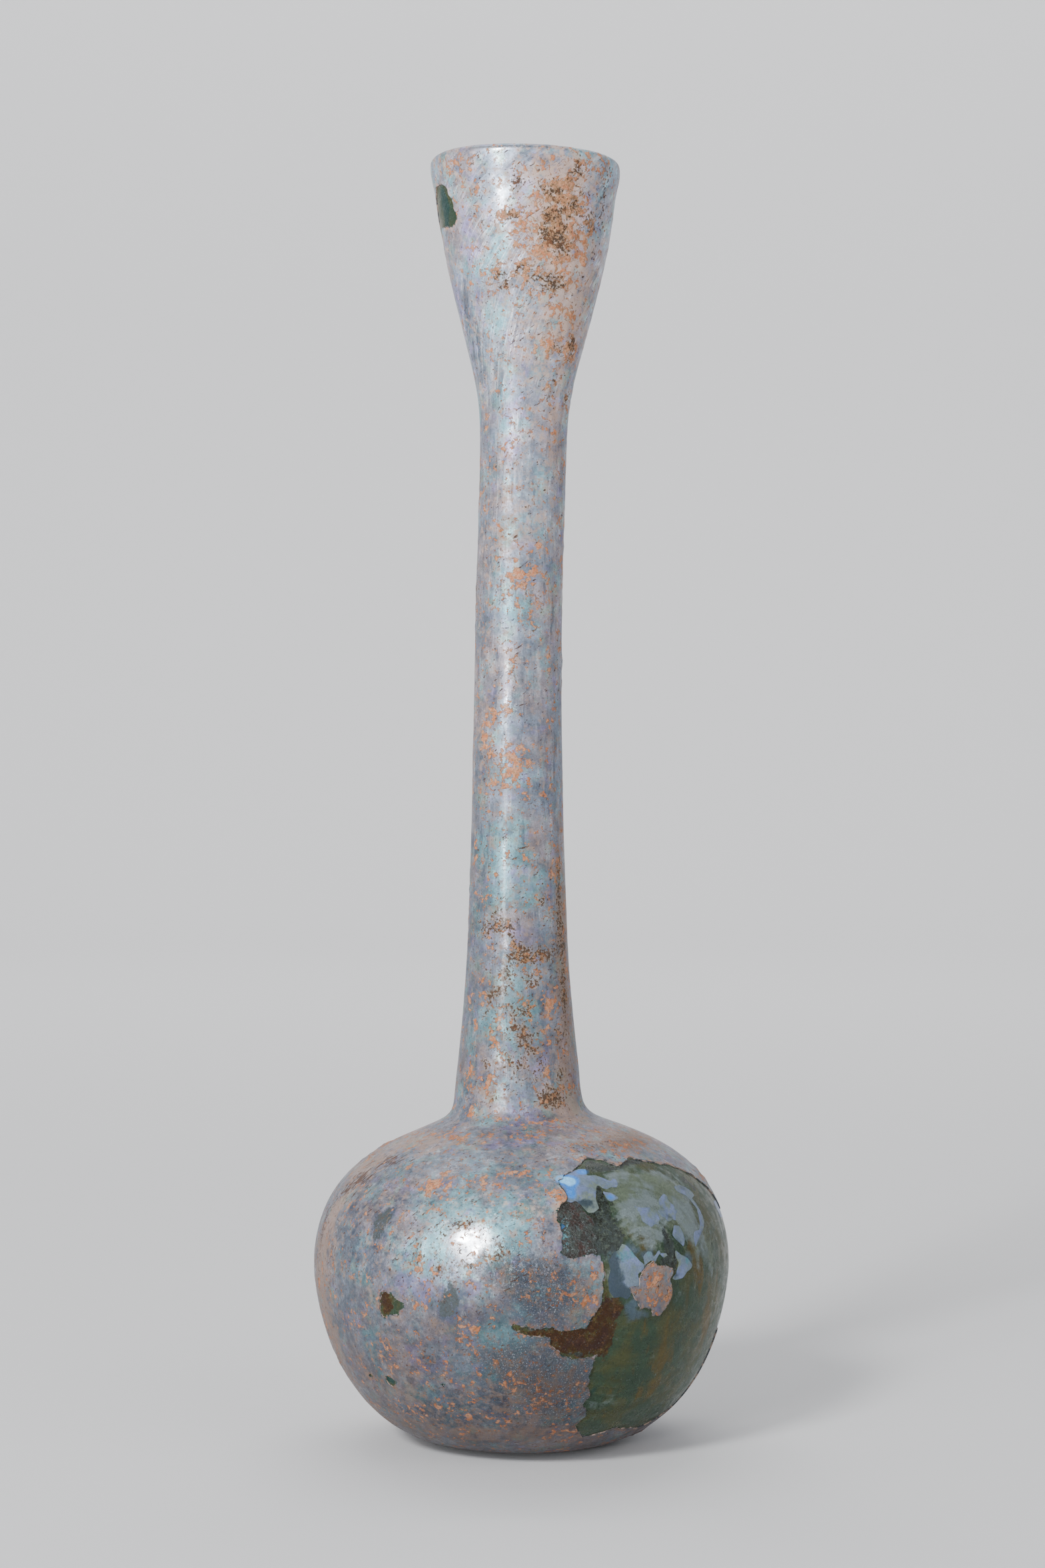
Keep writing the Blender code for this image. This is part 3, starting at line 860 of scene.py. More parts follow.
def relief(places, surface, radius, marks_of, level):
    """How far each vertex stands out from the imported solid's face."""
    soil, dark, grit, gloss_and_painted_highlight, lumps = marks_of
    crumbs = grain(places, 0.9 * MM, 3, seed=29.0)
    crust = (
        SOIL_HEIGHT * soil * np.maximum(lumps + 0.10, 0)
        + GRIT_HEIGHT * grit * np.maximum(crumbs, 0)
        - PIT_DEPTH * dark * np.maximum(-crumbs, 0)
        + CRUST_LUMPS * lumps * (1 - 0.8 * smooth(gloss_and_painted_highlight, 0.2, 1.2))
    )
    out = np.where(level == 0, crust, np.where(level == 1, LAYER_LUMPS * crumbs, GLASS_LUMPS * lumps))
    out = np.where(surface == INNER, INNER_LUMPS * lumps, out)
    out += SLOW_WAVES * grain(places, 15 * MM, seed=3.0)
    scar = smooth(radius, 2.2 * MM, 3.2 * MM) * (1 - smooth(radius, 4.6 * MM, 5.6 * MM))
    return np.where(surface == UNDERSIDE, scar * (0.25 + 0.5 * crumbs) * MM, out)


# Materials

class Paint:
    """One material's node tree. Sizes are in millimetres, and keyword values are plain shader values."""

    def __init__(self, name, **plain):
        self.material = bpy.data.materials.new(name)
        self.material.use_nodes = True
        self.tree = self.material.node_tree
        self.shader = self.tree.nodes["Principled BSDF"]
        for socket, value in plain.items():
            self.shader.inputs[socket.replace("_", " ")].default_value = value
        self.place = self.add("ShaderNodeTexCoord").outputs["Object"]

    def add(self, kind, **settings):
        node = self.tree.nodes.new(kind)
        for key, value in settings.items():
            setattr(node, key, value)
        return node

    def put(self, value, socket):
        if isinstance(value, bpy.types.NodeSocket):
            self.tree.links.new(value, socket)
        elif isinstance(value, tuple) and len(value) == 3 and socket.type == "RGBA":
            socket.default_value = (*value, 1)
        else:
            socket.default_value = value

    def value_of(self, name):
        return self.add("ShaderNodeAttribute", attribute_name=name).outputs["Fac"]

    def places_of(self, name):
        return self.add("ShaderNodeAttribute", attribute_name=name).outputs["Vector"]

    def stretched(self, place, scale):
        """Places scaled along X, Y and Z, so that what is read there is drawn out where this is small."""
        node = self.add("ShaderNodeMapping", vector_type="POINT")
        self.put(place, node.inputs["Vector"])
        self.put(scale, node.inputs["Scale"])
        return node.outputs["Vector"]

    def leaning(self, place, degrees, across, along):
        """Places turned about Y and scaled, so that what is read there runs that way in strokes."""
        node = self.add("ShaderNodeMapping", vector_type="TEXTURE")
        self.put(place, node.inputs["Vector"])
        self.put((0, math.radians(degrees), 0), node.inputs["Rotation"])
        self.put((across, across, along), node.inputs["Scale"])
        return node.outputs["Vector"]

    def around(self, middle, share):
        """Places by their distance from a middle, with so much of their own place, for noise in arcs."""
        gap = self.add("ShaderNodeVectorMath", operation="DISTANCE")
        self.put(self.place, gap.inputs[0])
        self.put(middle, gap.inputs[1])
        rings = self.add("ShaderNodeCombineXYZ")
        self.put(gap.outputs["Value"], rings.inputs["X"])
        node = self.add("ShaderNodeVectorMath", operation="MULTIPLY_ADD")
        self.put(self.place, node.inputs[0])
        self.put((share,) * 3, node.inputs[1])
        self.put(rings.outputs["Vector"], node.inputs[2])
        return node.outputs["Vector"]

    def noise(self, size, detail=2.0, rough=0.5, at=None, distortion=0.0):
        node = self.add("ShaderNodeTexNoise")
        self.put(at or self.place, node.inputs["Vector"])
        self.put(1 / (size * MM), node.inputs["Scale"])
        self.put(detail, node.inputs["Detail"])
        self.put(rough, node.inputs["Roughness"])
        self.put(distortion, node.inputs["Distortion"])
        return node.outputs["Fac"]

    def cells(self, size, feature="F1", output="Distance", bent=0.0):
        """Cells of this size, whose walls are bent by so many millimetres where asked."""
        place = self.place
        if bent:
            wave = self.add("ShaderNodeTexNoise")
            for socket, value in (("Vector", self.place), ("Scale", 1 / (size * MM)), ("Detail", 4.0)):
                self.put(value, wave.inputs[socket])
            shift = self.add("ShaderNodeVectorMath", operation="MULTIPLY_ADD")
            self.put(wave.outputs["Color"], shift.inputs[0])
            self.put((bent * MM,) * 3, shift.inputs[1])
            self.put(self.place, shift.inputs[2])
            place = shift.outputs["Vector"]
        node = self.add("ShaderNodeTexVoronoi", feature=feature)
        self.put(place, node.inputs["Vector"])
        self.put(1 / (size * MM), node.inputs["Scale"])
        return node.outputs[output]

    def ramp(self, value, low, high, start=0.0, end=1.0):
        node = self.add("ShaderNodeMapRange", interpolation_type="SMOOTHSTEP")
        for socket, given in zip(node.inputs, (value, low, high, start, end)):
            self.put(given, socket)
        return node.outputs["Result"]

    def mix(self, under, over, share, blend="MIX"):
        node = self.add("ShaderNodeMix", data_type="RGBA", blend_type=blend)
        self.put(share, node.inputs["Factor"])
        under_socket, over_socket = [socket for socket in node.inputs if socket.type == "RGBA"]
        self.put(under, under_socket)
        self.put(over, over_socket)
        return next(socket for socket in node.outputs if socket.type == "RGBA")

    def maths(self, operation, *values):
        node = self.add("ShaderNodeMath", operation=operation)
        for socket, value in zip(node.inputs, values):
            self.put(value, socket)
        return node.outputs["Value"]

    def chain(self, operation, values):
        total = values[0]
        for value in values[1:]:
            total = self.maths(operation, total, value)
        return total

    def sum(self, *values):
        return self.chain("ADD", values)

    def times(self, *values):
        return self.chain("MULTIPLY", values)

    def most(self, *values):
        return self.chain("MAXIMUM", values)

    def scaled(self, name, factor):
        return self.maths("MULTIPLY", self.value_of(name), factor)

    def shaded(self, colour, light):
        return self.mix(colour, light, 1.0, blend="MULTIPLY")

    def share(self, size, detail, rough, low, high, most=1.0, mark=None, pull=0.0):
        """How much of a layer shows: noise of this size, helped by a mark, where it passes low to high."""
        value = self.noise(size, detail, rough)
        if mark:
            value = self.sum(value, self.scaled(mark, pull))
        return self.ramp(value, low, high, 0.0, most)

    def layered(self, ground, layers):
        """Colours laid over one another. Each layer is a colour and what share takes."""
        for colour, *pattern in layers:
            ground = self.mix(ground, colour, self.share(*pattern))
        return ground

    def ragged(self, edge):
        """1 past the crust's ragged edge and 0 on the crust, from the distance to its cut edge. The
        crust and the bare glass share it, so that fine teeth run on across the step between them."""
        teeth = self.ramp(self.noise(0.60, 6, 0.70), 0.28, 0.72, -0.00030, 0.00030)
        return self.ramp(self.maths("ADD", edge, teeth), -0.00003, 0.00003, 1.0, 0.0)

    def bump(self, height, depth, strength=1.0, normal=None):
        node = self.add("ShaderNodeBump")
        self.put(height, node.inputs["Height"])
        self.put(depth * MM, node.inputs["Distance"])
        self.put(strength, node.inputs["Strength"])
        if normal:
            self.put(normal, node.inputs["Normal"])
        return node.outputs["Normal"]

    def finish(self, **sockets):
        for name, value in sockets.items():
            self.put(value, self.shader.inputs[name.replace("_", " ")])
        return self.material


# Colours, as linear red, green and blue
SILVER = (0.212, 0.256, 0.325)
AQUA = (0.190, 0.410, 0.470)
MINT = (0.270, 0.400, 0.345)
LILAC = (0.305, 0.260, 0.480)
PINK_GREY = (0.340, 0.285, 0.300)
STEEL = (0.110, 0.155, 0.250)
PALE = (0.560, 0.575, 0.620)
PAINTED_HIGHLIGHT_PEARL = (0.700, 0.730, 0.780)
SLATE = (0.055, 0.078, 0.120)
DUST = (0.405, 0.275, 0.205)
ORANGE = (0.540, 0.180, 0.068)
PEACH = (0.590, 0.300, 0.170)
RUST = (0.270, 0.088, 0.034)
STROKE = (0.070, 0.032, 0.018)
HAZE = (0.330, 0.225, 0.125)
OCHRE = (0.270, 0.135, 0.050)
BROWN = (0.060, 0.034, 0.018)
CRUMB_GREY = (0.060, 0.068, 0.082)
GREEN = (0.036, 0.068, 0.040)
DEEP_GREEN = (0.016, 0.046, 0.036)
GREY_GREEN = (0.066, 0.074, 0.028)
BLOT = (0.050, 0.064, 0.066)
MIST = (0.205, 0.255, 0.262)
MOSS_MIST = (0.150, 0.188, 0.135)
MILKY = (0.085, 0.130, 0.180)
AMBER = (0.044, 0.015, 0.004)
DARK_RED = (0.040, 0.014, 0.010)
OLIVE = (0.066, 0.047, 0.011)
YELLOW_BROWN = (0.105, 0.076, 0.016)
TEAL = (0.012, 0.052, 0.044)
FILM_LILAC = (0.160, 0.205, 0.350)
FILM_GREY = (0.140, 0.185, 0.235)
FILM_MINT = (0.075, 0.215, 0.250)
FILM_DIM = (0.038, 0.056, 0.072)
GLINT_CYAN = (0.240, 0.620, 1.000)
EDGE_TAN = (0.420, 0.300, 0.240)
DARK_OLIVE = (0.034, 0.042, 0.036)
DARK_BROWN = (0.016, 0.014, 0.011)
INNER_GREEN = (0.150, 0.170, 0.120)
INNER_DARK = (0.080, 0.100, 0.070)
INNER_BROWN = (0.200, 0.130, 0.070)
GLINT_BLUE = (0.045, 0.230, 0.700)

# Layers of colour as (colour, size in mm, detail, roughness, where its noise starts to show it and shows
# it fully, its greatest share, and the mark that helps it, with its pull)
PEARL_LAYERS = (
    (PINK_GREY, 8.0, 3, 0.50, 0.44, 0.64, 0.80, "warm", 0.12),
    (AQUA, 5.0, 4, 0.60, 0.51, 0.72, 0.80, "aqua", 0.22),
    (LILAC, 3.2, 4, 0.60, 0.54, 0.74, 0.70, "violet", 0.23),
    (MINT, 3.6, 4, 0.60, 0.54, 0.68, 0.60),
    (STEEL, 2.0, 6, 0.66, 0.53, 0.72, 0.70, "shade", 0.16),
    # The last layer is a painted blue glint, drawn in mostly where the blue marks are
    (GLINT_BLUE, 1.2, 4, 0.60, 0.70, 0.98, 0.95, "blue", 0.40),
)
STAIN_LAYERS = (
    (OLIVE, 1.1, 6, 0.70, 0.47, 0.57),
    (DARK_RED, 2.2, 5, 0.66, 0.50, 0.60),
    (OCHRE, 0.7, 6, 0.74, 0.54, 0.66, 0.40),
)
BURNT_LAYERS = (
    (BLOT, 0.8, 6, 0.74, 0.46, 0.56),
    (MOSS_MIST, 0.6, 6, 0.78, 0.53, 0.63, 0.60),
    (DARK_BROWN, 1.3, 6, 0.72, 0.52, 0.60, 0.80),
)
UNDER_LAYERS = (
    (DARK_OLIVE, 1.3, 6, 0.70, 0.46, 0.60),
    (DARK_RED, 1.4, 6, 0.72, 0.50, 0.62, 0.80),
    (BLOT, 0.6, 6, 0.76, 0.53, 0.62, 0.90),
)
INNER_LAYERS = (
    (INNER_DARK, 4.0, 4, 0.50, 0.40, 0.62),
    (INNER_BROWN, 2.2, 5, 0.60, 0.56, 0.70),
)


def crust_material():
    """Pearly weathering in soft mottles, with streaks, flecks, a veil of dust, soil and brown specks, and
    with painted light and shade, a painted highlight and painted blue glints.
    """
    p = Paint(
        "weathered_crust",
        IOR=1.5,
        Coat_Weight=0.12,
        Coat_Roughness=0.16,
        Sheen_Weight=0.05,
        Sheen_Roughness=0.45,
        Sheen_Tint=(1.0, 0.68, 0.52, 1.0),
        Specular_Tint=(0.55, 0.58, 0.64, 1.0),
    )
    wound = p.places_of("wound")
    long_wound = p.stretched(wound, (1.0, 1.0, 0.14))
    edge = p.value_of("edge")
    lump = p.value_of("lump")
    tone_and_painted_light = p.value_of("tone_and_painted_light")
    grit_mark = p.value_of("grit")
    coarse = p.noise(3.1, 4, 0.60)
    fine = p.noise(0.95, 7, 0.68)
    sand = p.noise(0.30, 4, 0.65)
    streaks = p.noise(0.80, 5, 0.62, at=wound)

    # The pearly film with its pale swirls and dark hairs
    pearl = p.layered(SILVER, PEARL_LAYERS)
    pearl = p.mix(pearl, PALE, p.ramp(p.noise(1.7, 6, 0.66, at=wound), 0.54, 0.70, 0.0, 0.50))
    line = p.maths("ABSOLUTE", p.maths("SUBTRACT", p.noise(0.62, 3, 0.5, at=long_wound), 0.5))
    swirl = p.share(4.0, 3, 0.5, 0.52, 0.72, 0.80, "swirl", 0.24)
    pearl = p.mix(pearl, PALE, p.times(p.ramp(line, 0.0, 0.028, 1.0, 0.0), swirl))
    hair = p.ramp(p.noise(0.34, 4, 0.6, at=long_wound), 0.56, 0.66, 0.0, 0.26)
    pearl = p.mix(pearl, SLATE, p.times(hair, p.share(2.6, 4, 0.6, 0.46, 0.62)))

    # How light it is from place to place: random tone, with the painted light and shade by height and round
    # the highlight
    light = p.times(
        p.ramp(streaks, 0.28, 0.72, 0.88, 1.12),
        p.ramp(sand, 0.30, 0.70, 0.86, 1.14),
        p.ramp(fine, 0.30, 0.70, 0.84, 1.18),
        p.ramp(p.noise(6.0, 3), 0.3, 0.7, 0.84, 1.18),
        p.ramp(p.noise(2.3, 3, 0.55), 0.36, 0.64, 0.84, 1.18),
        tone_and_painted_light,
    )
    pearl = p.shaded(pearl, light)
    # Painted highlight: the pearl is lightened towards white where the key lights' highlights fall
    pearl = p.mix(pearl, PAINTED_HIGHLIGHT_PEARL, p.ramp(p.value_of("gloss_and_painted_highlight"), 0.75, 1.45, 0.0, 0.85))

    # Smudges, painted blue glints and grit
    smudge = p.sum(p.noise(1.5, 5, 0.64, at=wound), p.times(fine, 0.5), p.scaled("shade", 0.12))
    pearl = p.mix(pearl, SLATE, p.ramp(smudge, 0.80, 0.92, 0.0, 0.60))
    pearl = p.mix(pearl, GLINT_CYAN, p.ramp(p.value_of("blue"), 0.55, 1.30, 0.0, 0.9))
    grit = p.times(p.ramp(grit_mark, 0.15, 0.80), p.share(0.42, 5, 0.70, 0.42, 0.56))
    pearl = p.mix(pearl, CRUMB_GREY, p.times(grit, 0.92))
    speck = p.times(p.share(0.24, 4, 0.66, 0.56, 0.64), p.ramp(grit_mark, 0.0, 0.8, 0.12, 1.0))
    pearl = p.mix(pearl, p.mix(SILVER, PALE, p.ramp(sand, 0.4, 0.6)), p.times(speck, 0.85))

    # The veil of dust, dark blots, brown strokes and the warm rim of the crust; the dust and the rim carry
    # the painted light and shade as well
    veil = p.ramp(p.sum(p.noise(1.4, 7, 0.72), p.times(fine, 0.4), p.scaled("warm", 0.17)), 0.69, 0.87)
    colour = p.mix(pearl, p.shaded(DUST, tone_and_painted_light), p.times(veil, 0.70))
    blot = p.sum(p.times(p.noise(1.1, 6, 0.74), 1.6), p.scaled("shade", 0.55))
    blot = p.ramp(blot, 1.42, 1.51, 0.0, 0.88)
    colour = p.mix(colour, p.mix(DARK_OLIVE, BLOT, p.ramp(sand, 0.40, 0.60)), blot)
    crack = p.ramp(p.cells(1.5, "DISTANCE_TO_EDGE", bent=1.8), 0.0, 0.06, 1.0, 0.0)
    crack = p.times(crack, p.share(1.3, 6, 0.70, 0.60, 0.66, 1.0, "crack", 0.15))
    stroke = p.sum(p.noise(0.70, 4, 0.60, at=p.leaning(p.place, 58, 0.7, 2.8)), p.scaled("crack", 0.125))
    crack = p.most(crack, p.ramp(stroke, 0.650, 0.675))
    colour = p.mix(colour, STROKE, p.times(crack, 0.92))
    shelf = p.ramp(p.sum(edge, p.ramp(fine, 0.3, 0.7, -0.0003, 0.0005)), 0.0001, 0.0009, 0.80, 0.0)
    shelf = p.times(shelf, p.share(2.4, 4, 0.6, 0.50, 0.62, 1.0, "warm", 0.10))
    colour = p.mix(colour, p.shaded(PEACH, tone_and_painted_light), shelf)

    # Soil in heaps, crumbs and small flecks
    heap = p.sum(p.times(coarse, 0.70), p.times(fine, 1.20), p.times(lump, 0.03), p.scaled("soil", 0.118))
    crumb = p.sum(p.noise(0.70, 5, 0.64), p.times(lump, 0.08), p.scaled("crumb", 0.075))
    fleck = p.sum(p.noise(0.50, 3, 0.6), p.times(coarse, 0.20))
    soil = p.most(
        p.ramp(heap, 1.085, 1.115), p.ramp(crumb, 0.695, 0.715), p.ramp(fleck, 0.775, 0.800, 0.0, 0.9))
    soil_colour = p.mix(ORANGE, PEACH, p.share(0.8, 5, 0.68, 0.42, 0.56))
    soil_colour = p.mix(RUST, soil_colour, p.ramp(heap, 1.05, 1.15))
    soil_colour = p.mix(soil_colour, OCHRE, p.share(0.42, 5, 0.72, 0.51, 0.60, 0.85, "dark", 0.06))
    # The soil and the brown haze take a lesser share of the painted light and shade
    ground = p.ramp(tone_and_painted_light, 0.2, 1.0, 0.62, 1.0)
    colour = p.mix(colour, p.shaded(soil_colour, ground), p.times(soil, 0.92))

    # Brown clusters: a haze with dark dots in it
    knot = p.sum(p.times(p.noise(2.3, 4, 0.6), 0.60), p.times(p.noise(0.50, 7, 0.70), 1.15))
    knot = p.sum(knot, p.scaled("dark", 0.170))
    stain = p.ramp(knot, 1.00, 1.13)
    colour = p.mix(colour, p.shaded(HAZE, ground), p.times(stain, 0.55))
    dots = p.sum(p.noise(0.36, 4, 0.62), p.ramp(knot, 1.02, 1.20, 0.0, 0.20))
    dark = p.times(p.ramp(dots, 0.615, 0.655), p.ramp(knot, 1.01, 1.05))
    colour = p.mix(colour, p.mix(BROWN, RUST, p.ramp(fine, 0.50, 0.62, 0.0, 0.5)), p.times(dark, 0.92))
    chipped = p.ragged(edge)
    colour = p.mix(colour, DEEP_GREEN, chipped)

    # The lustre is strongest, and the bump calmest, where the crust is glossy
    dull = p.most(soil, stain, p.times(veil, 0.7), p.times(grit, 0.8), crack)
    lustre = p.ramp(p.value_of("gloss_and_painted_highlight"), 0.6, 1.4, 0.60, 0.90)
    metal = p.ramp(p.most(dull, chipped, blot), 0.0, 1.0, lustre, 0.0)
    rough = p.sum(
        p.maths("SUBTRACT", p.ramp(dull, 0.0, 1.0, 0.42, 0.85), p.scaled("gloss_and_painted_highlight", 0.190)),
        p.ramp(p.noise(1.2, 5, 0.6, at=wound), 0.3, 0.7, -0.06, 0.08),
        p.ramp(p.noise(3.2, 3, 0.6), 0.35, 0.65, -0.06, 0.14),
    )
    height = p.sum(
        p.times(soil, p.ramp(fine, 0.4, 0.8, 0.4, 1.5)), p.times(sand, 0.12), p.times(speck, 0.8),
        p.times(grit, sand, 2.0))
    height = p.maths("SUBTRACT", height, p.times(p.most(dark, crack), 0.6))
    calm = p.ramp(p.value_of("gloss_and_painted_highlight"), 0.2, 1.3, 1.0, 0.18)
    normal = p.bump(streaks, 0.012, calm, normal=p.bump(height, 0.08, calm))
    return p.finish(Base_Color=colour, Metallic=metal, Roughness=rough, Normal=normal)


def bare_material():
    """The glass itself where the crust has flaked: dull green, see-through, misted and stained, with
    painted blue glints.
    """
    p = Paint("bare_green_glass", Transmission_Weight=0.32, IOR=1.5, Specular_IOR_Level=0.08)
    sand = p.noise(0.30, 4, 0.65)
    blue = p.value_of("blue")
    arcs = p.noise(0.9, 5, 0.62, at=p.around(FLAKED_MIDDLE, 0.12))
    colour = p.mix(GREEN, GREY_GREEN, p.share(5.0, 5, 0.62, 0.42, 0.62))
    curtain = p.noise(1.9, 5, 0.6, at=p.stretched(p.place, (1.0, 1.0, 0.22)))
    colour = p.mix(colour, YELLOW_BROWN, p.ramp(p.sum(curtain, p.scaled("yellow", 0.24)), 0.58, 0.80))
    cloud = p.sum(p.times(p.noise(1.9, 6, 0.68), 0.7), p.times(arcs, 0.3), p.scaled("mist", 0.30))
    mist = p.mix(MOSS_MIST, MIST, p.ramp(p.sum(p.noise(3.2, 4), p.times(arcs, 0.4)), 0.60, 0.80))
    colour = p.mix(colour, mist, p.ramp(cloud, 0.58, 0.80, 0.0, 0.95))
    colour = p.mix(colour, MILKY, p.share(2.0, 5, 0.62, 0.66, 1.02, 0.75, "milky", 0.42))
    colour = p.shaded(colour, p.ramp(arcs, 0.35, 0.65, 0.88, 1.12))
    colour = p.layered(colour, (
        (p.layered(AMBER, STAIN_LAYERS), 1.5, 6, 0.70, 0.70, 0.78, 0.95, "amber", 0.42),
        (p.layered(DARK_OLIVE, BURNT_LAYERS), 0.9, 6, 0.72, 0.76, 0.84, 0.92, "burnt", 0.42),
        (TEAL, 3.0, 3, 0.50, 0.72, 0.92, 1.0, "teal", 0.50),
    ))
    colour = p.shaded(colour, p.ramp(sand, 0.30, 0.70, 0.78, 1.24))
    colour = p.mix(colour, MIST, p.times(p.share(0.24, 4, 0.66, 0.62, 0.68), 0.6))
    # Painted blue glints, where the blue marks are
    colour = p.mix(colour, GLINT_BLUE, p.ramp(blue, 0.30, 1.10, 0.0, 0.85))
    colour = p.mix(colour, GLINT_CYAN, p.ramp(blue, 1.05, 1.50, 0.0, 0.90))
    crust_left = p.maths("SUBTRACT", 1.0, p.ragged(p.value_of("edge")))
    colour = p.mix(colour, PINK_GREY, crust_left)
    rough = p.sum(p.ramp(p.noise(1.6, 6, 0.66), 0.35, 0.70, 0.20, 0.44), p.times(crust_left, 0.3))
    height = p.sum(p.noise(1.3, 6, 0.62), p.times(sand, 0.25), p.times(arcs, 0.5))
    return p.finish(Base_Color=colour, Roughness=rough, Normal=p.bump(height, 0.06))


def film_material():
    """Thin lilac, blue and sea-green remains of the weathered film, with painted blue glints."""
    p = Paint("iridescent_film", IOR=1.5, Coat_Weight=0.08, Coat_Roughness=0.18, Specular_IOR_Level=0.15)
    sand = p.noise(0.30, 4, 0.65)
    colour = p.mix(FILM_LILAC, FILM_GREY, p.share(2.2, 4, 0.5, 0.42, 0.60))
    colour = p.mix(colour, FILM_MINT, p.share(1.8, 4, 0.5, 0.64, 0.95, 1.0, "milky", 0.26))
    thin = p.sum(p.noise(1.2, 6, 0.70), p.scaled("burnt", 0.25), p.scaled("mist", 0.04))
    colour = p.mix(colour, MOSS_MIST, p.ramp(thin, 0.53, 0.68, 0.0, 0.75))
    colour = p.mix(colour, FILM_DIM, p.share(1.4, 5, 0.66, 0.62, 0.95, 0.95, "dim", 0.45))
    # Painted blue glints, where the blue marks are
    blue = p.sum(p.times(p.noise(1.6, 5, 0.62), 0.3), p.value_of("blue"))
    colour = p.mix(colour, GLINT_BLUE, p.ramp(blue, 0.42, 0.90, 0.0, 0.90))
    colour = p.mix(colour, GLINT_CYAN, p.ramp(blue, 0.95, 1.45))
    colour = p.shaded(colour, p.ramp(sand, 0.3, 0.7, 0.84, 1.16))
    metal = p.ramp(p.noise(1.0, 3), 0.4, 0.6, 0.0, 0.25)
    rough = p.ramp(p.noise(1.0, 4), 0.3, 0.7, 0.24, 0.42)
    normal = p.bump(p.noise(0.5, 5, 0.66), 0.02)
    return p.finish(Base_Color=colour, Metallic=metal, Roughness=rough, Normal=normal)


def rough_material():
    """The dark granular layer under the crust, with painted blue, teal and pale glints."""
    p = Paint("dark_under_layer", IOR=1.6, Specular_IOR_Level=0.30)
    grains = p.sum(p.times(p.cells(0.42, bent=0.5), 0.7), p.noise(0.30, 5, 0.7))
    colour = p.layered(DARK_BROWN, UNDER_LAYERS)
    # Painted teal glints, where the blue marks are
    glint = p.share(0.45, 5, 0.72, 0.58, 0.66, 1.0, "blue", 0.10)
    colour = p.mix(colour, FILM_MINT, p.times(glint, p.ramp(p.value_of("blue"), 0.1, 0.7)))
    # Painted pale sparkles of glitter on the dark grains
    painted_sparkle = p.times(p.share(0.26, 4, 0.7, 0.58, 0.66), p.share(1.5, 3, 0.5, 0.46, 0.58))
    colour = p.mix(colour, MIST, p.times(painted_sparkle, 0.8))
    rough = p.ramp(grains, 0.5, 1.0, 0.22, 0.55)
    return p.finish(Base_Color=colour, Roughness=rough, Normal=p.bump(grains, 0.12))


def edge_material():
    """The broken edge of the crust, a thin tan line."""
    p = Paint("crust_broken_edge")
    colour = p.mix(EDGE_TAN, CRUMB_GREY, p.share(1.4, 5, 0.7, 0.44, 0.54))
    rough = p.ramp(p.noise(0.5, 3), 0.3, 0.7, 0.6, 0.9)
    return p.finish(Base_Color=colour, Roughness=rough, Normal=p.bump(p.noise(0.25, 4, 0.7), 0.05))


def inside_material():
    """The clouded inner face, seen through the bare glass."""
    p = Paint("clouded_inner_face", Transmission_Weight=0.25, IOR=1.5)
    colour = p.layered(INNER_GREEN, INNER_LAYERS)
    rough = p.ramp(p.noise(1.5, 4), 0.3, 0.7, 0.35, 0.60)
    return p.finish(Base_Color=colour, Roughness=rough, Normal=p.bump(p.noise(0.8, 4), 0.05))


# The map that the finish is spread on, where each stretch of the wall is an island

def map_zones(marks, end):
    """(surface, start and end along, left, bottom, width round the wall, height along it, upright)."""
    names = ("root", "throat", "rim", "mouth_end", "inner_root")
    root, throat, rim, mouth_end, inner_root = (marks[name] for name in names)
    return (
        (OUTER, 0, root, 2, 2, 216, 80, True),
        (OUTER, root, throat, 2, 86, 60, 99, False),
        (OUTER, throat, rim, 105, 86, 100, 60, True),
        (INNER, rim, mouth_end, 2, 150, 92, 60, True),
        (INNER, mouth_end, inner_root, 98, 198, 18, 50, False),
        (INNER, inner_root, end, 98, 150, 118, 44, True),
    )


def lay_map(mesh, surfaces, azimuth, along, radius, marks):
    """Lays each stretch of the wall out by its azimuth and its distance along the section."""
    end = along.max() + MM
    zones = map_zones(marks, end)
    layer = mesh.uv_layers.new(name="OFBake")
    spots = np.zeros((len(mesh.loops), 2))
    for polygon, surface in zip(mesh.polygons, surfaces):
        loops = list(polygon.loop_indices)
        corners = list(polygon.vertices)
        if surface == UNDERSIDE:
            for loop, vertex in zip(loops, corners):
                x, y, _ = mesh.vertices[vertex].co
                spots[loop] = (170 + x / MM, 206 + y / MM)
            continue
        middle = sum(along[v] for v in corners) / len(corners)
        near = [z for z in zones if z[0] == surface]
        zone = next((z for z in reversed(near) if z[1] <= middle), near[0])
        _, start, stop, left, bottom, wide, high, upright = zone
        first = next(azimuth[v] for v in corners if radius[v] > WELD)
        known = [first + wrapped(azimuth[v] - first) for v in corners if radius[v] > WELD]
        centre = sum(known) / len(known)
        base = centre % math.tau
        for loop, vertex in zip(loops, corners):
            turn = centre if radius[vertex] <= WELD else first + wrapped(azimuth[vertex] - first)
            share = (base + turn - centre) / math.tau
            rise = (along[vertex] - start) / (stop - start)
            across, up = (share * wide, rise * high) if upright else (rise * high, share * wide)
            spots[loop] = (left + across, bottom + up)
    layer.uv.foreach_set("vector", (spots / MAP_SIDE).ravel())


# The flask itself

def read_layer(shape, layer):
    return np.array([v[layer] for v in shape.verts])


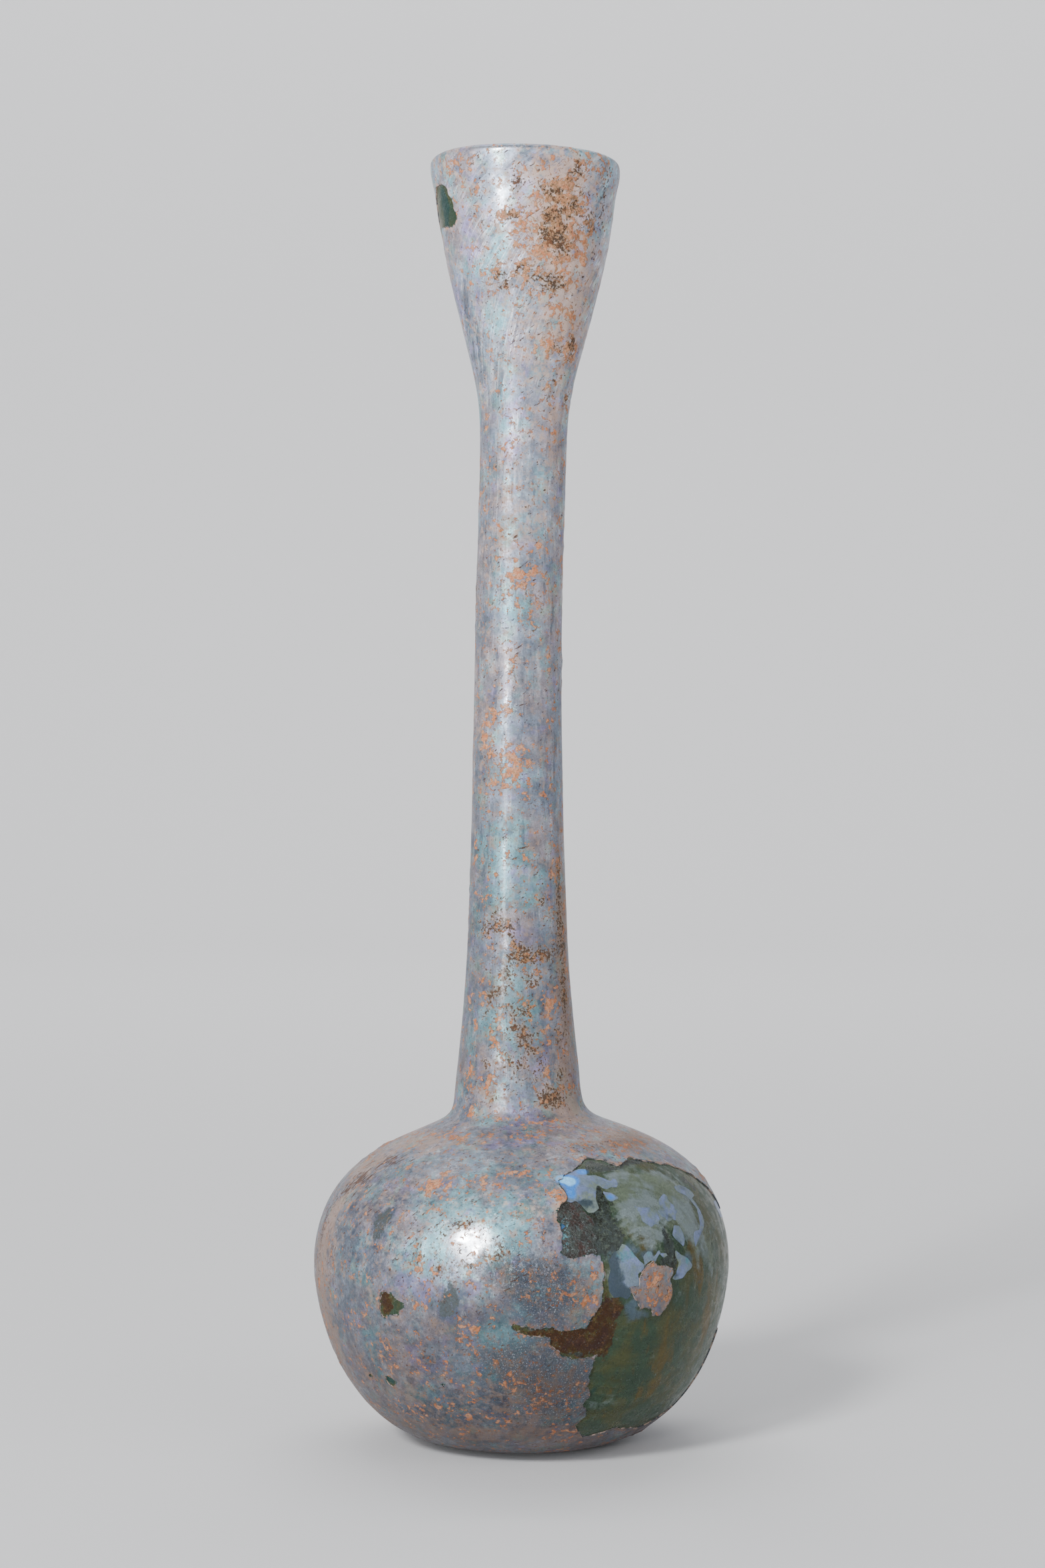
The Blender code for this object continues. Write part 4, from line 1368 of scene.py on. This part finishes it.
def plain_shape(rows, poles, flaked):
    """The flask before any cut, with its layers, and finer where the flaked region faces the camera."""
    places, facts, faces = base_mesh(rows, poles)
    along, shift = facts.T
    azimuth, radius = unrolled(places, shift)
    close = (distance_to(flaked, azimuth, along, radius) < FINE_MARGIN) & (azimuth < 0)
    shape = bmesh.new()
    layers = {name: shape.verts.layers.float.new(name) for name in ("along", "shift", *CUT_FIELDS)}
    surface_layer = shape.faces.layers.int.new("surface")
    vertices = []
    for place, distance, sideways in zip(places, along, shift):
        vertex = shape.verts.new(place)
        vertex[layers["along"]] = distance
        vertex[layers["shift"]] = sideways
        vertices.append(vertex)
    for corners, surface in faces:
        shape.faces.new([vertices[i] for i in corners])[surface_layer] = surface
    shape.verts.index_update()
    within = [e for e in shape.edges if close[e.verts[0].index] and close[e.verts[1].index]]
    bmesh.ops.subdivide_edges(shape, edges=within, cuts=1, use_grid_fill=True)
    return shape, layers, surface_layer


def cut_patches(shape, layers, seen, marks, patches, draw):
    """Cuts the edges of the flaked patches, the film's remains and the dark layer into the mesh."""
    places = np.array([v.co for v in shape.verts])
    along = read_layer(shape, layers["along"])
    azimuth, radius = unrolled(places, read_layer(shape, layers["shift"]))

    def nearest(outlines):
        return np.min([distance_to(outline, azimuth, along, radius) for outline in outlines], axis=0)

    patches = patches + [seen.outline(p) for p in SMALL_PATCHES]
    patches += hidden_patches(marks, HIDDEN_PATCHES, draw, WIDE_HIDDEN_PATCH)
    remains = [seen.outline(p) for p in FILM_REMAINS]
    remains += hidden_patches(marks, HIDDEN_REMAINS, draw)
    ragged = EDGE_TEETH * grain(places, 1.5 * MM, 2, seed=5.0)
    ragged += EDGE_NICKS * grain(places, 0.8 * MM, seed=8.0)
    ragged += HIDDEN_WANDER * smooth(places[:, 1], -1 * MM, 5 * MM) * grain(places, 5 * MM, 3, seed=14.0)
    fields = (
        np.maximum(nearest(patches), -nearest([seen.outline(ISLAND)])) + ragged,
        nearest(remains) + ragged * 0.10,
        nearest([seen.outline(DARK_LAYER)]) + ragged,
    )
    for name, field in zip(CUT_FIELDS, fields):
        field[along > marks["rim"] + MM] = FAR
        for vertex, value in zip(shape.verts, field):
            vertex[layers[name]] = value
    for name in CUT_FIELDS:
        cut_along(shape, layers[name], SNAP)
    shape.normal_update()


def surfaces_of(shape, surface_layer):
    """Which surface each vertex lies on. A vertex on a border counts to the one that isn't outside."""
    shape.verts.index_update()
    found = np.full(len(shape.verts), OUTER)
    for face in shape.faces:
        if face[surface_layer] != OUTER:
            for vertex in face.verts:
                found[vertex.index] = face[surface_layer]
    return found


def weathering(seen, marks, places, azimuth, along, radius, draw):
    """How strong each mark is at each vertex."""
    found = {}
    for name, spots, low, high in MARKS:
        spots = photo_spots(seen, spots) + hidden_spots(marks, HIDDEN_SPOTS, low, high, draw)
        found[name] = np.maximum(soft_spots(spots, azimuth, along, radius), 0)
    heights, tones_and_painted_shade = np.array(CRUST_TONES_AND_PAINTED_SHADE).T
    painted_glow = soft_spots(photo_spots(seen, PAINTED_LIGHT_SPOTS), azimuth, along, radius)
    found["tone_and_painted_light"] = np.interp(places[:, 2] / MM, heights, tones_and_painted_shade) * (1 + painted_glow)
    found["lump"] = grain(places, 1.7 * MM, 3, seed=11.0)
    return found


def whole_shape(node):
    """The flask's visual mesh with all that its materials read, as a mesh object."""
    rows, marks, poles = ring_plan(section_stations(node))
    seen = Seen(rows, node)
    draw = random.Random(SEED)
    patches = [seen.outline(FLAKED_EDGE, FLAKED_BACK), seen.outline(MOUTH_PATCH, MOUTH_PATCH_BACK)]
    shape, layers, surface_layer = plain_shape(rows, poles, patches[0])
    cut_patches(shape, layers, seen, marks, patches, draw)

    places = np.array([v.co for v in shape.verts])
    along = read_layer(shape, layers["along"])
    edge = read_layer(shape, layers["bare"])
    azimuth, radius = unrolled(places, read_layer(shape, layers["shift"]))
    vertex_surface = surfaces_of(shape, surface_layer)
    under = vertex_surface == UNDERSIDE
    found = weathering(seen, marks, places, azimuth, along, radius, draw)
    found["soil"] = np.where(under, UNDERSIDE_SOIL, found["soil"])
    grounded = smooth(places[:, 2], 0.2 * MM, 1.6 * MM)
    grounded = np.where(under & (radius < KICK_REACH), 1.0, grounded)

    def offsets(source, level):
        lumpy = [found[name][source] for name in ("soil", "dark", "grit", "gloss_and_painted_highlight", "lump")]
        out = relief(places[source], vertex_surface[source], radius[source], lumpy, level)
        return out * grounded[source]

    cuts = [layers[name] for name in CUT_FIELDS]
    finished = stepped_mesh(shape, surface_layer, cuts, layers["along"], marks["mouth_end"], offsets)
    shape.free()
    where, faces, labels, surfaces, walls, source = finished
    mesh = bpy.data.meshes.new("weathered_flask")
    mesh.from_pydata(where, [], faces)
    for name, values in {**found, "edge": edge}.items():
        mesh.attributes.new(name, "FLOAT", "POINT").data.foreach_set("value", values[source])
    wound = wound_places(azimuth, along, radius, marks)[source]
    mesh.attributes.new("wound", "FLOAT_VECTOR", "POINT").data.foreach_set("vector", wound.ravel())
    makers = (crust_material, rough_material, film_material, bare_material, inside_material, edge_material)
    for maker in makers:
        mesh.materials.append(maker())
    mesh.polygons.foreach_set("material_index", labels)
    mesh.polygons.foreach_set("use_smooth", [not wall for wall in walls])
    mesh.set_sharp_from_angle(angle=SHARP_FROM)
    lay_map(mesh, surfaces, azimuth[source], along[source], radius[source], marks)
    mesh.update()
    vessel = bpy.data.objects.new("weathered_flask", mesh)
    bpy.context.scene.collection.objects.link(vessel)
    return vessel


# The studio: a round pale sweep, two small key lights and a soft window light on the left, a weak fill
# on the right, a soft top light and a wash on the far wall

SWEEP_FLOOR = 1.5
SWEEP_BEND = 0.5
SWEEP_TOP = 1.9
SWEEP_SIDES = 96
BEND_POINTS = 12
PAPER = (0.78, 0.78, 0.79, 1)
FLASK_MIDDLE = Vector((0, 0, 0.10))
WALL_MIDDLE = Vector((0, 2, 0.35))


def sweep():
    """A floor that curves up into a wall all round."""
    profile = [(0, 0), (SWEEP_FLOOR, 0)]
    for i in range(1, BEND_POINTS + 1):
        turn = i * math.pi / 2 / BEND_POINTS
        profile.append((SWEEP_FLOOR + SWEEP_BEND * math.sin(turn), SWEEP_BEND * (1 - math.cos(turn))))
    profile.append((SWEEP_FLOOR + SWEEP_BEND, SWEEP_TOP))
    shape = bmesh.new()
    line = [shape.verts.new((x, 0, z)) for x, z in profile]
    edges = [shape.edges.new(pair) for pair in zip(line, line[1:])]
    bmesh.ops.spin(
        shape,
        geom=line + edges,
        cent=(0, 0, 0),
        axis=(0, 0, 1),
        angle=math.tau,
        steps=SWEEP_SIDES,
        use_merge=True,
    )
    bmesh.ops.remove_doubles(shape, verts=shape.verts, dist=0.1 * MM)
    mesh = bpy.data.meshes.new("sweep")
    shape.to_mesh(mesh)
    shape.free()
    mesh.shade_smooth()
    material = bpy.data.materials.new("pale_paper")
    material.use_nodes = True
    shader = material.node_tree.nodes["Principled BSDF"]
    shader.inputs["Base Color"].default_value = PAPER
    shader.inputs["Roughness"].default_value = 0.9
    mesh.materials.append(material)
    stage = bpy.data.objects.new("sweep", mesh)
    bpy.context.scene.collection.objects.link(stage)
    return stage


def beside(degrees_left, distance, height):
    """A place round the flask, by its degrees from the camera's side towards its left."""
    turn = math.radians(degrees_left)
    return Vector((-distance * math.sin(turn), -distance * math.cos(turn), height))


def area_light(name, place, aim, wide, tall, power, colour=(1, 1, 1)):
    """A rectangular light that the camera doesn't see."""
    light = bpy.data.lights.new(name, "AREA")
    light.shape = "RECTANGLE"
    light.size = wide
    light.size_y = tall
    light.energy = power
    light.color = colour
    lamp = bpy.data.objects.new(name, light)
    lamp.location = place
    lamp.rotation_euler = (aim - place).to_track_quat("-Z", "Y").to_euler()
    lamp.visible_camera = False
    bpy.context.scene.collection.objects.link(lamp)


def camera():
    lens = bpy.data.cameras.new("camera")
    lens.lens = LENS
    lens.sensor_width = SENSOR
    lens.clip_start = 0.01
    viewer = bpy.data.objects.new("camera", lens)
    viewer.location = CAMERA_PLACE
    viewer.rotation_euler = (math.pi / 2, 0, 0)
    bpy.context.scene.collection.objects.link(viewer)
    bpy.context.scene.camera = viewer


def world():
    sky = bpy.data.worlds.new("soft_room")
    sky.use_nodes = True
    background = sky.node_tree.nodes["Background"]
    background.inputs["Color"].default_value = (0.75, 0.78, 0.82, 1)
    background.inputs["Strength"].default_value = 0.25
    bpy.context.scene.world = sky


camera()
world()
area_light("key", beside(31, 1.0, 0.67), FLASK_MIDDLE, 0.20, 0.20, 10.5)
area_light("low_key", beside(31, 1.0, 0.13), FLASK_MIDDLE, 0.10, 0.08, 3.8)
area_light("window", beside(36, 1.1, 0.42), FLASK_MIDDLE, 0.60, 0.60, 3.6)
area_light("fill", beside(-52, 1.2, 0.55), FLASK_MIDDLE, 0.9, 0.9, 3.0, (0.92, 0.96, 1.0))
area_light("top", beside(170, 0.5, 1.3), FLASK_MIDDLE, 1.0, 1.0, 4.5)
area_light("wash", Vector((0, 0.9, 1.5)), WALL_MIDDLE, 1.6, 0.5, 20)
sweep()

vessel = whole_shape(frame["nodes"]["flask"])
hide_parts("flask")
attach(vessel, "root")

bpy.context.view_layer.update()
